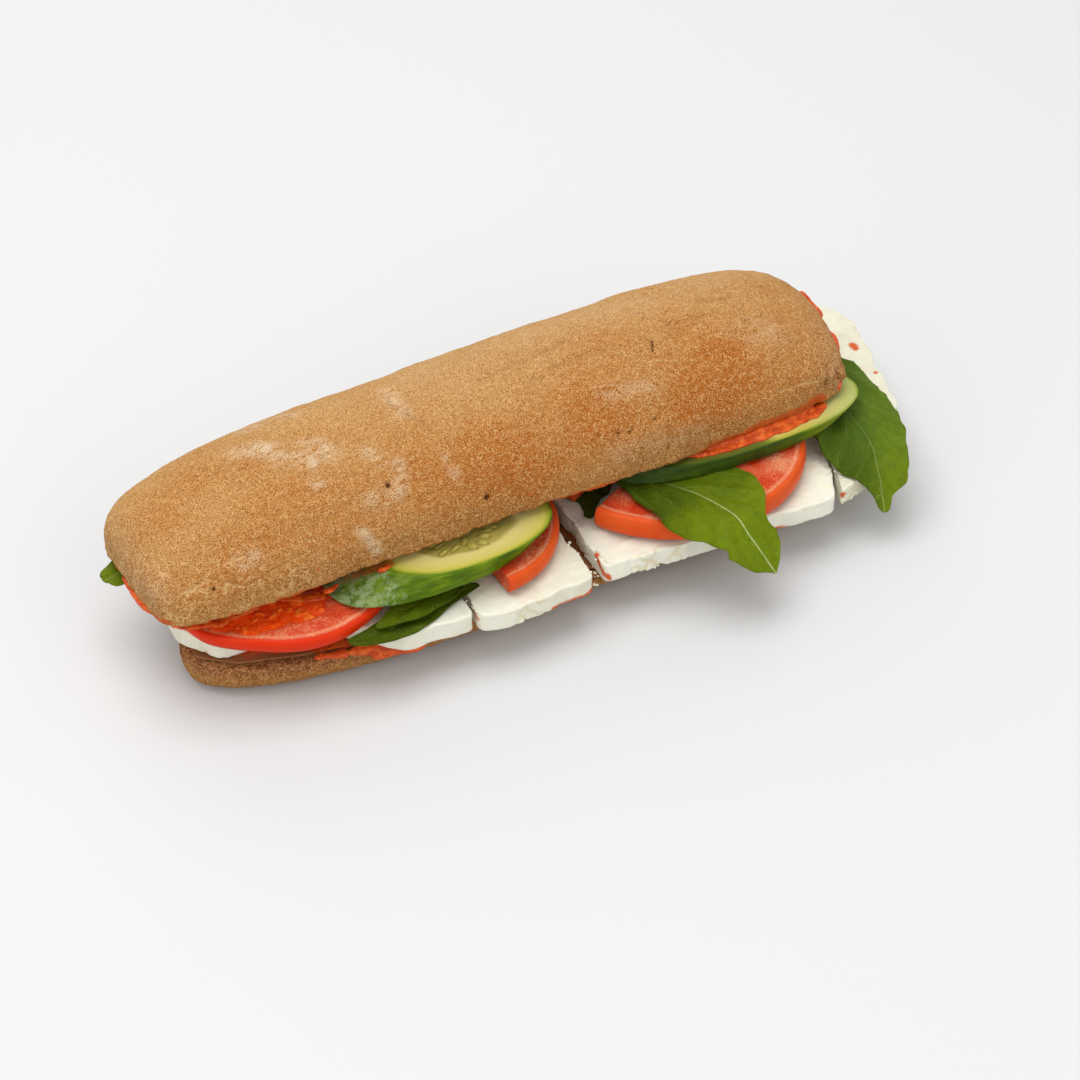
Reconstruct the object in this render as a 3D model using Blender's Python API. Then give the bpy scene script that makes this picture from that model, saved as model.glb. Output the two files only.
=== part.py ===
"""A feta and salad sandwich on a long wholemeal roll, stacked from the base up.

Every size is in centimetres, with +X along the roll, +Y to its back and +Z up. Meshes are made in
metres. Places in plan are measured from the middle of the roll, and the last step moves the whole
stack so that the middle of its underside is the origin.
"""

import math

import bmesh
import bpy
from mathutils import Vector, noise

CM = 0.01
GAP = 0.03

# The roll, cut in two along its length. Its heel is shorter than its crown and tapers to the left.
CROWN_LENGTH = 23.6
CROWN_WIDTH = 6.55
CROWN_WIDENING = 0.3
CROWN_HEIGHT = 2.9
CROWN_RISE = 0.2
CROWN_ENDS = (6.6, 6.5)
CROWN_SLOPES = (4.3, 3.5)
CROWN_FULLNESS = 2.3
CROWN_SHIFT = (0.0, 0.28)
CROWN_STATIONS = 36
CROWN_LUMPS = (0.07, 0.035)
CROWN_RAGGED = 0.05
LEFT_DROOP = 0.3
DROOP_REACH = 7.0
HEEL_LENGTH = 22.4
HEEL_WIDTH = 6.2
HEEL_HEIGHT = 1.27
HEEL_ENDS = (2.4, 4.5)
HEEL_FULLNESS = 2.5
HEEL_STATIONS = 30
HEEL_LUMPS = 0.06
HEEL_ROUNDING = 1.12
HEEL_SHIFT = (0.4, -0.95)
SPREAD_MARGIN = 0.5

# The filling, in the order in which it is laid.
SPREAD_THICKNESS = 0.09
FETA_THICKNESS = 0.64
LEAF_THICKNESS = 0.05
TOMATO_THICKNESS = 0.58
THICK_TOMATO_THICKNESS = 0.7
CUCUMBER_THICKNESS = 0.45
THICK_CUCUMBER_THICKNESS = 0.58
SLICE_WAVE = 0.02

# Heights of the undersides, each layer lying on the one below with a small clearance.
SPREAD_LEVEL = HEEL_HEIGHT + GAP
FETA_LEVEL = SPREAD_LEVEL + SPREAD_THICKNESS + GAP
FETA_TOP = FETA_LEVEL + FETA_THICKNESS
LOW_LEAF_LEVEL = FETA_TOP + GAP + LEAF_THICKNESS / 2
TOMATO_LEVEL = FETA_TOP + LEAF_THICKNESS + 2 * GAP
TOMATO_TOP = TOMATO_LEVEL + TOMATO_THICKNESS
THICK_TOMATO_TOP = TOMATO_LEVEL + THICK_TOMATO_THICKNESS
HIGH_LEAF_LEVEL = THICK_TOMATO_TOP + GAP + LEAF_THICKNESS / 2
LEFT_CUCUMBER_LEVEL = TOMATO_TOP + 2 * GAP
RIGHT_CUCUMBER_LEVEL = THICK_TOMATO_TOP + LEAF_THICKNESS + 2 * GAP
CUCUMBER_TOP = RIGHT_CUCUMBER_LEVEL + CUCUMBER_THICKNESS
TOP_SPREAD_LEVEL = CUCUMBER_TOP + SLICE_WAVE + GAP
CUT_LEVEL = TOP_SPREAD_LEVEL + SPREAD_THICKNESS + GAP


def material(name, colour, roughness):
    """A plain surface of one colour, given as linear red, green and blue."""
    made = bpy.data.materials.new(name)
    made.use_nodes = True
    surface = made.node_tree.nodes["Principled BSDF"]
    surface.inputs["Base Color"].default_value = (*colour, 1.0)
    surface.inputs["Roughness"].default_value = roughness
    surface.inputs["Metallic"].default_value = 0.0
    return made


def lump(x, y, z, size, seed):
    """A smooth random value between -1 and 1 that changes over about `size` centimetres."""
    return noise.noise(Vector((x / size + 17.3 * seed, y / size - 5.1 * seed, z / size + 2.7 * seed)))


def new_piece(name, shape, surface, crease=40.0):
    """Turns a finished bmesh into a named object with one material."""
    bmesh.ops.recalc_face_normals(shape, faces=shape.faces)
    mesh = bpy.data.meshes.new(name)
    shape.to_mesh(mesh)
    shape.free()
    mesh.shade_smooth()
    mesh.set_sharp_from_angle(angle=math.radians(crease))
    mesh.materials.append(surface)
    piece = bpy.data.objects.new(name, mesh)
    bpy.context.scene.collection.objects.link(piece)
    return piece


def loft(name, rings, surface, crease=40.0):
    """A closed solid through rings of equally many points, with a flat cap at each end."""
    shape = bmesh.new()
    loops = [[shape.verts.new(Vector(point) * CM) for point in ring] for ring in rings]
    count = len(loops[0])
    for near, far in zip(loops, loops[1:]):
        for i in range(count):
            j = (i + 1) % count
            shape.faces.new((near[i], near[j], far[j], far[i]))
    shape.faces.new(reversed(loops[0]))
    shape.faces.new(loops[-1])
    return new_piece(name, shape, surface, crease)


def end_share(t, ends):
    """How much of its full size a roll has at t, from -1 at its left end to 1 at its right one."""
    squareness = ends[0] if t < 0 else ends[1]
    return max(0.0, 1.0 - abs(t) ** squareness) ** (1.0 / squareness)


def stations(count):
    """Places along a roll, close together at its ends."""
    last = 0.9998
    return [-last * math.cos(math.pi * i / (count - 1)) for i in range(count)]


def droop(x):
    """How far the crown hangs down at its left end, where less filling holds it up."""
    past = max(0.0, DROOP_REACH - CROWN_LENGTH / 2 - x) / DROOP_REACH
    return LEFT_DROOP * past**2


def section(turn, fullness):
    """A point on a rounded square of half width 1: an ellipse at a fullness of 2, blunter above it."""
    across, up = math.cos(turn), math.sin(turn)
    power = 2.0 / fullness
    return math.copysign(abs(across) ** power, across), math.copysign(abs(up) ** power, up)


def roll_crown(surface):
    """The upper half of the roll: a long dome with blunt ends, a flat cut face and a lumpy crust."""
    arc_steps, cut_steps = 20, 6
    rings = []
    for t in stations(CROWN_STATIONS):
        x = CROWN_SHIFT[0] + t * CROWN_LENGTH / 2
        half = (CROWN_WIDTH + CROWN_WIDENING * t) / 2 * end_share(t, CROWN_ENDS)
        rise = (CROWN_HEIGHT + CROWN_RISE * t) * end_share(t, CROWN_SLOPES)
        level = CUT_LEVEL - droop(x)
        ring = []
        for i in range(arc_steps + 1):
            turn = math.pi * i / arc_steps
            across, up = section(turn, CROWN_FULLNESS)
            y, z = -half * across, rise * up
            swell = CROWN_LUMPS[0] * lump(x, y, z, 2.6, 1) + CROWN_LUMPS[1] * lump(x, y, z, 1.1, 2)
            ragged = CROWN_RAGGED * lump(x, y, 0.0, 0.8, 3) * math.cos(turn) ** 6
            grow = 1.0 + (swell + ragged) / (CROWN_WIDTH / 2)
            ring.append((x, CROWN_SHIFT[1] + y * grow, level + z * grow))
        front, back = ring[0][1], ring[-1][1]
        ring += [(x, back + (front - back) * i / cut_steps, level) for i in range(1, cut_steps)]
        rings.append(ring)
    return loft("roll_top", rings, surface)


def roll_heel(surface):
    """The lower half of the roll: rounded sides below the cut face, baked flat underneath."""
    side_steps, flat_steps, cut_steps = 6, 5, 6
    depth = HEEL_ROUNDING * HEEL_HEIGHT
    flat_turn = math.asin((HEEL_HEIGHT / depth) ** (HEEL_FULLNESS / 2))
    turns = [flat_turn * i / side_steps for i in range(side_steps)]
    turns += [flat_turn + (math.pi - 2 * flat_turn) * i / flat_steps for i in range(flat_steps + 1)]
    turns += [math.pi - flat_turn * i / side_steps for i in reversed(range(side_steps))]
    rings = []
    for t in stations(HEEL_STATIONS):
        x = HEEL_SHIFT[0] + t * HEEL_LENGTH / 2
        half = HEEL_WIDTH / 2 * end_share(t, HEEL_ENDS)
        lift = 1.0 - end_share(t, (9.0, 9.0))
        ring = []
        for turn in turns:
            across, down = section(turn, HEEL_FULLNESS)
            y, z = -half * across, max(0.0, HEEL_HEIGHT - depth * down)
            swell = HEEL_LUMPS * lump(x, y, z, 1.6, 4) * math.cos(turn) ** 2
            grow = 1.0 + swell / (HEEL_WIDTH / 2)
            ring.append((x, HEEL_SHIFT[1] + y * grow, z + lift * (HEEL_HEIGHT - z)))
        front, back = ring[0][1], ring[-1][1]
        ring += [(x, back + (front - back) * i / cut_steps, HEEL_HEIGHT) for i in range(1, cut_steps)]
        rings.append(ring)
    return loft("roll_bottom", rings, surface)


def layered(name, outline, middle, profile, surface, warp=None, crease=40.0):
    """A flat solid whose plan is `outline`, closed towards `middle` above and below.

    `profile` lists (share, inset, height) from the middle of the underside, out round the edge and
    back to the middle of the top: the outline shrinks to `share` and moves in by `inset`.
    """
    rings = []
    for share, inset, height in profile:
        ring = []
        for px, py in outline:
            dx, dy = px - middle[0], py - middle[1]
            keep = share * (1.0 - inset / math.hypot(dx, dy))
            point = (middle[0] + dx * keep, middle[1] + dy * keep, height)
            ring.append(warp(*point) if warp else point)
        rings.append(ring)
    return loft(name, rings, surface, crease)


def spread_layer(name, size, ends, shift, level, surface, seed, sink=None):
    """A thin layer of pepper spread over a cut face, its rounded edge wandering in and out."""
    steps = 30
    length, width = size
    outline = []
    for side in (-1, 1):
        for i in range(steps):
            t = side * math.cos(math.pi * (i + 0.5) / steps)
            x, y = t * length / 2, side * width / 2 * end_share(t, ends)
            straight = max(0.0, (length - width) / 2)
            out = Vector((x - min(max(x, -straight), straight), y)).normalized()
            wander = 0.2 * lump(x, y, 0.0, 1.7, seed) + 0.1 * lump(x, y, 0.0, 0.7, seed + 1)
            outline.append((shift[0] + x + out.x * wander, shift[1] + y + out.y * wander))
    high = level + SPREAD_THICKNESS
    profile = [
        (0.5, 0.0, level),
        (1.0, 0.05, level),
        (1.0, 0.0, (level + high) / 2),
        (1.0, 0.05, high),
        (0.5, 0.0, high),
    ]
    warp = (lambda x, y, z: (x, y, z - sink(x))) if sink else None
    return layered(name, outline, shift, profile, surface, warp)


def rough_outline(corners, step, radius, ragged, seed):
    """A polygon with rounded corners, walked in even steps, its edge uneven by up to `ragged`."""
    count = len(corners)
    path = []
    for i, corner in enumerate(corners):
        corner = Vector(corner)
        before = (Vector(corners[i - 1]) - corner).normalized()
        after = (Vector(corners[(i + 1) % count]) - corner).normalized()
        start, end = corner + before * radius, corner + after * radius
        for k in range(3):
            share = k / 2
            bend = start.lerp(corner, share).lerp(corner.lerp(end, share), share)
            path.append(bend)
    outline = []
    for a, b in zip(path, path[1:] + path[:1]):
        pieces = max(1, round((b - a).length / step))
        for k in range(pieces):
            point = a.lerp(b, k / pieces)
            push = (b - a).orthogonal().normalized() * ragged * lump(point.x, point.y, 0.0, 0.75, seed)
            outline.append(tuple(point + push))
    return outline


def middle_of(outline):
    """The mean of an outline's points."""
    return (
        sum(point[0] for point in outline) / len(outline),
        sum(point[1] for point in outline) / len(outline),
    )


def feta_slab(name, corners, surface, seed, thickness=FETA_THICKNESS, slump=None):
    """A slab of feta with broken sides and softened edges, its top a little uneven."""
    outline = rough_outline(corners, 0.75, 0.22, 0.09, seed)
    low, high = FETA_LEVEL, FETA_LEVEL + thickness
    profile = [
        (0.55, 0.0, low),
        (1.0, 0.10, low),
        (1.0, 0.02, low + 0.09),
        (1.0, 0.0, low + 0.5 * thickness),
        (1.0, 0.03, high - 0.08),
        (1.0, 0.12, high),
        (0.6, 0.0, high),
        (0.25, 0.0, high),
    ]

    def warp(x, y, z):
        share = (z - low) / thickness
        side = 0.05 * lump(x, y, z, 0.5, seed + 5)
        dip = -0.05 * share * abs(lump(x, y, 0.0, 1.4, seed + 9))
        return (x + side, y + side, z + dip + (slump(x, y) * share if slump else 0.0))

    return layered(name, outline, middle_of(outline), profile, surface, warp, crease=50.0)


def disc_outline(centre, reach, span=(0.0, 2 * math.pi), count=36, chord_steps=7):
    """The edge of a round slice, or of the part of it between two angles closed by a straight cut."""
    whole = span[1] - span[0] > 2 * math.pi - 0.01
    arc = count if whole else round(count * (span[1] - span[0]) / (2 * math.pi)) + 1
    points = []
    for i in range(arc):
        angle = span[0] + (span[1] - span[0]) * i / (arc if whole else arc - 1)
        points.append((centre[0] + reach * math.cos(angle), centre[1] + reach * math.sin(angle)))
    if not whole:
        first, last = Vector(points[0]), Vector(points[-1])
        points += [tuple(last.lerp(first, i / chord_steps)) for i in range(1, chord_steps)]
    return points


def oval_outline(centre, long_half, short_half, turn, bluntness=2.3, count=34):
    """The edge of a slice cut on the slant: an oval with slightly blunt ends."""
    points = []
    for i in range(count):
        angle = 2 * math.pi * i / count
        along_share, across_share = section(angle, bluntness)
        px, py = long_half * along_share, short_half * across_share
        points.append(
            (
                centre[0] + px * math.cos(turn) - py * math.sin(turn),
                centre[1] + px * math.sin(turn) + py * math.cos(turn),
            )
        )
    return points


def tomato_slice(name, centre, reach, level, thickness, surface, seed, span, flare=0.0, sag=None):
    """A slice of tomato: a round or half-round plate with a bulging rim of skin."""
    outline = disc_outline(centre, reach, span=span)
    middle = middle_of(outline)
    high = level + thickness
    profile = [
        (0.5, 0.0, level),
        (0.85, 0.0, level),
        (1.0, 0.06, level),
        (1.0, -0.3 * flare, level + 0.3 * thickness),
        (1.0, -0.8 * flare, level + 0.75 * thickness),
        (1.0, 0.05 - flare, high),
        (0.85, 0.0, high),
        (0.5, 0.0, high - 0.03),
    ]

    def warp(x, y, z):
        drop = sag(x, y) if sag else 0.0
        wave = 0.03 * lump(x, y, 0.0, 1.8, seed)
        return (x + wave, y + wave, z - drop)

    return layered(name, outline, middle, profile, surface, warp, crease=55.0)


def tomato_sag(x, y):
    """How far the whole slice's front and back edges hang down past the pieces that hold it up."""
    return 0.12 * max(0.0, abs(y) - 2.4) ** 2


def cucumber_slice(name, centre, halves, turn, level, thickness, surface, seed, slide=0.0, grow=0.0):
    """A slice cut on the slant: an oval plate whose underside is slid and stretched along its length."""
    outline = oval_outline((0.0, 0.0), halves[0], halves[1], 0.0)
    high = level + thickness
    profile = [
        (0.55, 0.0, level),
        (1.0, 0.04, level),
        (1.0, 0.0, level + 0.3 * thickness),
        (1.0, 0.0, level + 0.8 * thickness),
        (1.0, 0.05, high),
        (0.55, 0.0, high),
    ]

    def warp(x, y, z):
        share = (high - z) / thickness
        x = x * (1.0 + grow * share / halves[0]) + slide * share
        wave = SLICE_WAVE * lump(x, y, 0.0, 2.0, seed)
        px = centre[0] + x * math.cos(turn) - y * math.sin(turn)
        py = centre[1] + x * math.sin(turn) + y * math.cos(turn)
        return (px, py, z + wave)

    return layered(name, outline, (0.0, 0.0), profile, surface, warp, crease=55.0)


def along(values, share):
    """Reads a list of numbers or points at a share of its length, by a smooth curve through them."""
    last = len(values) - 1
    at = min(max(share, 0.0), 1.0) * last
    i = min(int(at), last - 1)
    f = at - i
    picked = [values[min(max(k, 0), last)] for k in (i - 1, i, i + 1, i + 2)]
    p0, p1, p2, p3 = (Vector(p) if isinstance(p, tuple) else p for p in picked)
    return p1 + 0.5 * f * (
        (p2 - p0) + f * ((2 * p0 - 5 * p1 + 4 * p2 - p3) + f * (3 * (p1 - p2) + p3 - p0))
    )


def beyond(outline, x, y):
    """How far a point lies outside a convex outline, walked with its inside to the left."""
    far = -1e9
    for (ax, ay), (bx, by) in zip(outline, outline[1:] + outline[:1]):
        length = math.hypot(bx - ax, by - ay)
        if length > 0.01:
            far = max(far, ((x - ax) * (by - ay) - (y - ay) * (bx - ax)) / length)
    return far


def leaf(name, spine, left, right, surface, seed, cup=0.1, ruffle=0.06, over=(), under=(), steps=13):
    """A thin leaf: two faces alike along a curved midrib, with half widths given on each side.

    `over` and `under` list (outline, height) of what it lies on and what lies on it. Past an outline
    the leaf may sink or rise away from that height by `slope`.
    """
    across, slope, margin = 3, 1.2, 0.3
    clear = GAP + LEAF_THICKNESS / 2
    rows = []
    for i in range(steps + 1):
        share = i / steps
        middle = along(spine, share)
        tangent = along(spine, min(1.0, share + 0.02)) - along(spine, max(0.0, share - 0.02))
        side = Vector((-tangent.y, tangent.x, 0.0)).normalized()
        row = []
        for k in range(-across, across + 1):
            out = k / across
            width = along(left if k > 0 else right, share)
            point = middle + side * out * width
            wave = ruffle * abs(out) * lump(point.x, point.y, 0.0, 0.9, seed)
            point.z += cup * out * out * width + wave
            for outline, height in over:
                past = max(0.0, beyond(outline, point.x, point.y) - margin)
                point.z = max(point.z, height + clear - slope * past)
            for outline, height in under:
                past = max(0.0, beyond(outline, point.x, point.y) - margin)
                point.z = min(point.z, height - clear + slope * past)
            row.append(point)
        rows.append(row)
    shape = bmesh.new()
    faces = []
    for up in (1.0, -1.0):
        grid = []
        for i, row in enumerate(rows):
            line = []
            for k, point in enumerate(row):
                run = rows[min(i + 1, steps)][k] - rows[max(i - 1, 0)][k]
                over_row = row[min(k + 1, 2 * across)] - row[max(k - 1, 0)]
                normal = over_row.cross(run).normalized()
                normal = normal if normal.z > 0 else -normal
                line.append(shape.verts.new((point + normal * LEAF_THICKNESS / 2 * up) * CM))
            grid.append(line)
        for i in range(steps):
            for k in range(2 * across):
                a, b, c, d = grid[i][k], grid[i][k + 1], grid[i + 1][k + 1], grid[i + 1][k]
                shape.faces.new((a, b, c))
                shape.faces.new((a, c, d))
        faces.append(grid)
    top, bottom = faces
    rim = [(i, 0) for i in range(steps)] + [(steps, k) for k in range(2 * across)]
    rim += [(i, 2 * across) for i in range(steps, 0, -1)] + [(0, k) for k in range(2 * across, 0, -1)]
    for (i, k), (m, n) in zip(rim, rim[1:] + rim[:1]):
        shape.faces.new((top[i][k], top[m][n], bottom[m][n], bottom[i][k]))
    return new_piece(name, shape, surface, crease=60.0)


def build():
    for old in list(bpy.data.objects):
        bpy.data.objects.remove(old, do_unlink=True)

    crust = material("crust", (0.42, 0.22, 0.09), 0.8)
    pepper = material("pepper_spread", (0.62, 0.10, 0.02), 0.35)
    cheese = material("feta", (0.86, 0.84, 0.74), 0.6)
    tomato = material("tomato", (0.66, 0.06, 0.02), 0.25)
    cucumber = material("cucumber", (0.30, 0.42, 0.08), 0.3)
    green = material("leaf", (0.06, 0.17, 0.015), 0.45)

    roll_heel(crust)
    roll_crown(crust)
    heel_size = (HEEL_LENGTH - SPREAD_MARGIN, HEEL_WIDTH - SPREAD_MARGIN)
    crown_size = (CROWN_LENGTH - SPREAD_MARGIN, CROWN_WIDTH - SPREAD_MARGIN)
    spread_layer("spread_bottom", heel_size, HEEL_ENDS, HEEL_SHIFT, SPREAD_LEVEL, pepper, 11)
    spread_layer("spread_top", crown_size, CROWN_ENDS, CROWN_SHIFT, TOP_SPREAD_LEVEL, pepper, 23, droop)

    slabs = {
        "feta_1": [(-10.9, -0.7), (-9.9, -2.5), (-7.0, -2.7), (-7.0, 2.7), (-10.3, 2.5)],
        "feta_2": [(-6.6, -3.0), (-5.2, -4.35), (-3.05, -4.6), (-2.75, 2.7), (-6.6, 2.9)],
        "feta_3": [(-2.9, -4.75), (-2.3, -5.0), (0.95, -4.85), (1.25, 2.6), (-2.4, 2.8)],
        "feta_4": [(1.4, -4.65), (4.0, -4.9), (9.6, -5.1), (9.5, -3.2), (9.2, 2.4), (1.9, 2.6)],
        "feta_5": [
            (9.95, -4.95),
            (10.75, -4.85),
            (13.6, -2.4),
            (14.1, -0.5),
            (14.95, 2.1),
            (14.5, 3.4),
            (9.7, 3.2),
        ],
    }
    for seed, (name, corners) in enumerate(slabs.items()):
        feta_slab(name, corners, cheese, 31 + seed)

    cut_turn = math.radians(25.4)
    whole, half = (0.0, 2 * math.pi), math.pi / 2
    slices = {
        "tomato_1": ((-7.18, 0.15), 3.8, TOMATO_THICKNESS, whole, 0.15),
        "tomato_2": ((-1.9, -1.35), 3.05, TOMATO_THICKNESS, (0.05 - half, half), 0.0),
        "tomato_3": ((5.78, -1.2), 4.08, THICK_TOMATO_THICKNESS, (cut_turn - 2 * half, cut_turn), 0.0),
        "tomato_4": ((5.0, -0.3), 3.8, TOMATO_THICKNESS, (cut_turn, cut_turn + 2 * half), 0.0),
    }
    edges = {}
    for seed, (name, (centre, reach, thickness, span, flare)) in enumerate(slices.items()):
        sag = tomato_sag if name == "tomato_1" else None
        edges[name] = disc_outline(centre, reach, span=span)
        tomato_slice(name, centre, reach, TOMATO_LEVEL, thickness, tomato, 51 + seed, span, flare, sag)

    thin, thick = CUCUMBER_THICKNESS, THICK_CUCUMBER_THICKNESS
    ovals = {
        "cucumber_1": ((-2.2, -2.42), (2.85, 1.65), 0.0, LEFT_CUCUMBER_LEVEL, thick, -0.8, 0.9),
        "cucumber_2": ((7.75, -1.95), (4.2, 1.6), -3.0, RIGHT_CUCUMBER_LEVEL, thin, 0.0, 0.0),
        "cucumber_3": ((-2.6, 1.9), (3.1, 1.7), 4.0, LEFT_CUCUMBER_LEVEL, thick, 0.5, 0.0),
        "cucumber_4": ((6.2, 2.05), (3.2, 1.7), -3.0, LEFT_CUCUMBER_LEVEL, thick, -0.5, 0.0),
    }
    for seed, (name, (centre, halves, degrees, level, thickness, slide, grow)) in enumerate(ovals.items()):
        turn = math.radians(degrees)
        edges[name] = oval_outline(centre, halves[0], halves[1], turn)
        cucumber_slice(name, centre, halves, turn, level, thickness, cucumber, 61 + seed, slide, grow)

    low, high = LOW_LEAF_LEVEL, HIGH_LEAF_LEVEL
    on_tomato = (edges["tomato_3"], THICK_TOMATO_TOP)
    leaf(
        "leaf_1",
        [
            (3.6, -1.2, high),
            (4.28, -2.79, high),
            (5.0, -3.95, high),
            (5.42, -5.2, 2.88),
            (5.6, -6.1, 2.5),
            (5.95, -7.0, 1.6),
        ],
        [0.3, 1.0, 1.6, 1.5, 0.85, 0.2],
        [0.3, 1.3, 1.95, 2.1, 1.5, 0.2],
        green,
        71,
        over=[on_tomato],
        under=[(edges["cucumber_2"], RIGHT_CUCUMBER_LEVEL)],
    )
    leaf(
        "leaf_2",
        [
            (12.6, 0.9, 2.7),
            (12.8, -0.8, 2.75),
            (12.2, -2.2, 2.75),
            (11.6, -3.6, 2.65),
            (11.05, -4.95, 2.0),
            (10.7, -5.9, 1.1),
        ],
        [0.2, 0.25, 0.6, 1.1, 1.2, 0.15],
        [0.2, 0.8, 1.6, 1.8, 1.4, 0.1],
        green,
        72,
        over=[(slabs["feta_4"], FETA_TOP), (slabs["feta_5"], FETA_TOP)],
        under=[(edges["cucumber_2"], RIGHT_CUCUMBER_LEVEL)],
    )
    leaf(
        "leaf_3",
        [
            (-6.8, -3.9, low),
            (-6.0, -4.0, low),
            (-4.9, -3.95, low),
            (-3.6, -3.65, low + 0.05),
            (-2.3, -3.5, low),
        ],
        [0.1, 0.35, 0.7, 0.6, 0.06],
        [0.1, 0.4, 0.5, 0.3, 0.06],
        green,
        73,
        cup=0.0,
        ruffle=0.02,
        over=[(slabs["feta_2"], FETA_TOP), (slabs["feta_3"], FETA_TOP)],
        under=[(edges["tomato_2"], TOMATO_LEVEL)],
    )
    leaf(
        "leaf_4",
        [(-2.6, -2.5, 2.4), (-3.3, -3.3, 2.42), (-4.6, -3.7, 2.42), (-5.9, -3.9, 2.3)],
        [0.2, 0.6, 0.6, 0.06],
        [0.2, 0.45, 0.5, 0.06],
        green,
        74,
        cup=0.0,
        under=[(edges["cucumber_1"], LEFT_CUCUMBER_LEVEL)],
    )
    leaf(
        "leaf_5",
        [(3.6, 0.1, low), (2.8, -0.8, low), (2.2, -1.9, low), (1.95, -3.0, low)],
        [0.2, 0.7, 0.75, 0.06],
        [0.2, 0.7, 0.7, 0.06],
        green,
        75,
        cup=0.0,
        ruffle=0.0,
        over=[(slabs["feta_4"], FETA_TOP)],
    )
    leaf(
        "leaf_6",
        [(-9.3, 2.3, 2.85), (-10.6, 1.7, 2.9), (-11.6, 1.35, 2.95), (-12.2, 1.2, 2.95)],
        [0.2, 0.8, 0.6, 0.06],
        [0.2, 0.7, 0.5, 0.06],
        green,
        76,
        cup=0.0,
        ruffle=0.03,
        over=[(edges["tomato_1"], TOMATO_TOP)],
    )
    leaf(
        "leaf_7",
        [(-7.0, 1.6, 2.86), (-7.4, 2.8, 2.86), (-7.6, 4.0, 2.8), (-7.5, 5.0, 2.4), (-7.2, 5.7, 1.8)],
        [0.3, 1.3, 1.6, 1.0, 0.06],
        [0.3, 1.2, 1.5, 1.0, 0.06],
        green,
        77,
        over=[(edges["tomato_1"], TOMATO_TOP)],
    )
    leaf(
        "leaf_8",
        [
            (1.0, 1.2, low + 0.3),
            (1.1, 2.4, low + 0.4),
            (1.2, 3.4, low + 0.3),
            (1.4, 4.4, 1.9),
            (1.6, 5.2, 1.3),
        ],
        [0.2, 0.9, 1.4, 1.0, 0.06],
        [0.3, 1.1, 1.3, 0.9, 0.06],
        green,
        78,
        over=[(slabs["feta_3"], FETA_TOP), (slabs["feta_4"], FETA_TOP), (edges["tomato_4"], TOMATO_TOP)],
        under=[(edges["cucumber_4"], LEFT_CUCUMBER_LEVEL)],
    )

    pieces = list(bpy.context.scene.objects)
    corners = [vertex.co for piece in pieces for vertex in piece.data.vertices]
    low_corner = Vector([min(corner[k] for corner in corners) for k in range(3)])
    high_corner = Vector([max(corner[k] for corner in corners) for k in range(3)])
    stack = bpy.data.objects.new("sandwich", None)
    bpy.context.scene.collection.objects.link(stack)
    for piece in pieces:
        piece.parent = stack
    middle = (low_corner + high_corner) / 2
    stack.location = (-middle.x, -middle.y, -low_corner.z)


build()
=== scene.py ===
import math

import bmesh
import bpy
import numpy as np
from mathutils import Matrix, Vector, noise
from mathutils.bvhtree import BVHTree


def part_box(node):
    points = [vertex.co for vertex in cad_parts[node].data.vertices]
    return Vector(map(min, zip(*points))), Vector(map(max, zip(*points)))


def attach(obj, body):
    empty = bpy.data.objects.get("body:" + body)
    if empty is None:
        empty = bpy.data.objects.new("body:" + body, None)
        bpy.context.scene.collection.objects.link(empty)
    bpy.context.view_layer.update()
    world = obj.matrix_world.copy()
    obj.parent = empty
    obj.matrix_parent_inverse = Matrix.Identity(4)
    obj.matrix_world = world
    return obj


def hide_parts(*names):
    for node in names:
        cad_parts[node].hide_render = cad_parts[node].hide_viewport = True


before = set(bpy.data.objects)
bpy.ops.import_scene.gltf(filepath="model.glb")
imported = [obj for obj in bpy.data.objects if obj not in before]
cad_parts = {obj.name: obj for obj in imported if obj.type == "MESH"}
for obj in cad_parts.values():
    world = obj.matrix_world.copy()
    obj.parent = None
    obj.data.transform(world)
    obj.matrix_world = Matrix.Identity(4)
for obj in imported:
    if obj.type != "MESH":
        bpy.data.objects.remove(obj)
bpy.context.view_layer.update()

# ---------------------------------------------------------------------------------------------
# The lower half of the roll: wholemeal bread, baked flat underneath, with a thin brown crust and
# an open, moist crumb where it was cut. Everything else is laid on it.

CM = 0.01
BAKED_SMOOTHING, CREASE_ANGLE, CREASE = 4, math.radians(35.0), 0.75
LOWER_CELL = 0.075


def lumps(points, size, seed):
    """Smooth random values between -1 and 1 that change over about `size` centimetres."""
    size = np.broadcast_to(np.asarray(size, float), (3,))
    places = (points / size + np.array((17.3, -5.1, 2.7)) * seed).reshape(-1, 3)
    return np.array([noise.noise(place) for place in places.tolist()]).reshape(points.shape[:-1])


def fade(values, low, high):
    """0 up to `low`, 1 from `high` on, and a smooth change between them."""
    share = np.clip((values - low) / (high - low), 0.0, 1.0)
    return share * share * (3.0 - 2.0 * share)


def hump(values, width):
    """1 where values are 0, falling away over `width` on both sides."""
    return np.exp(-((values / width) ** 2))


def unit(vectors):
    """The same directions, each with a length of 1."""
    return vectors / np.maximum(np.linalg.norm(vectors, axis=-1, keepdims=True), 1e-9)


def placed(name, data):
    """A new object in the scene, made of a mesh, a light or a camera."""
    made = bpy.data.objects.new(name, data)
    bpy.context.scene.collection.objects.link(made)
    return made


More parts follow.
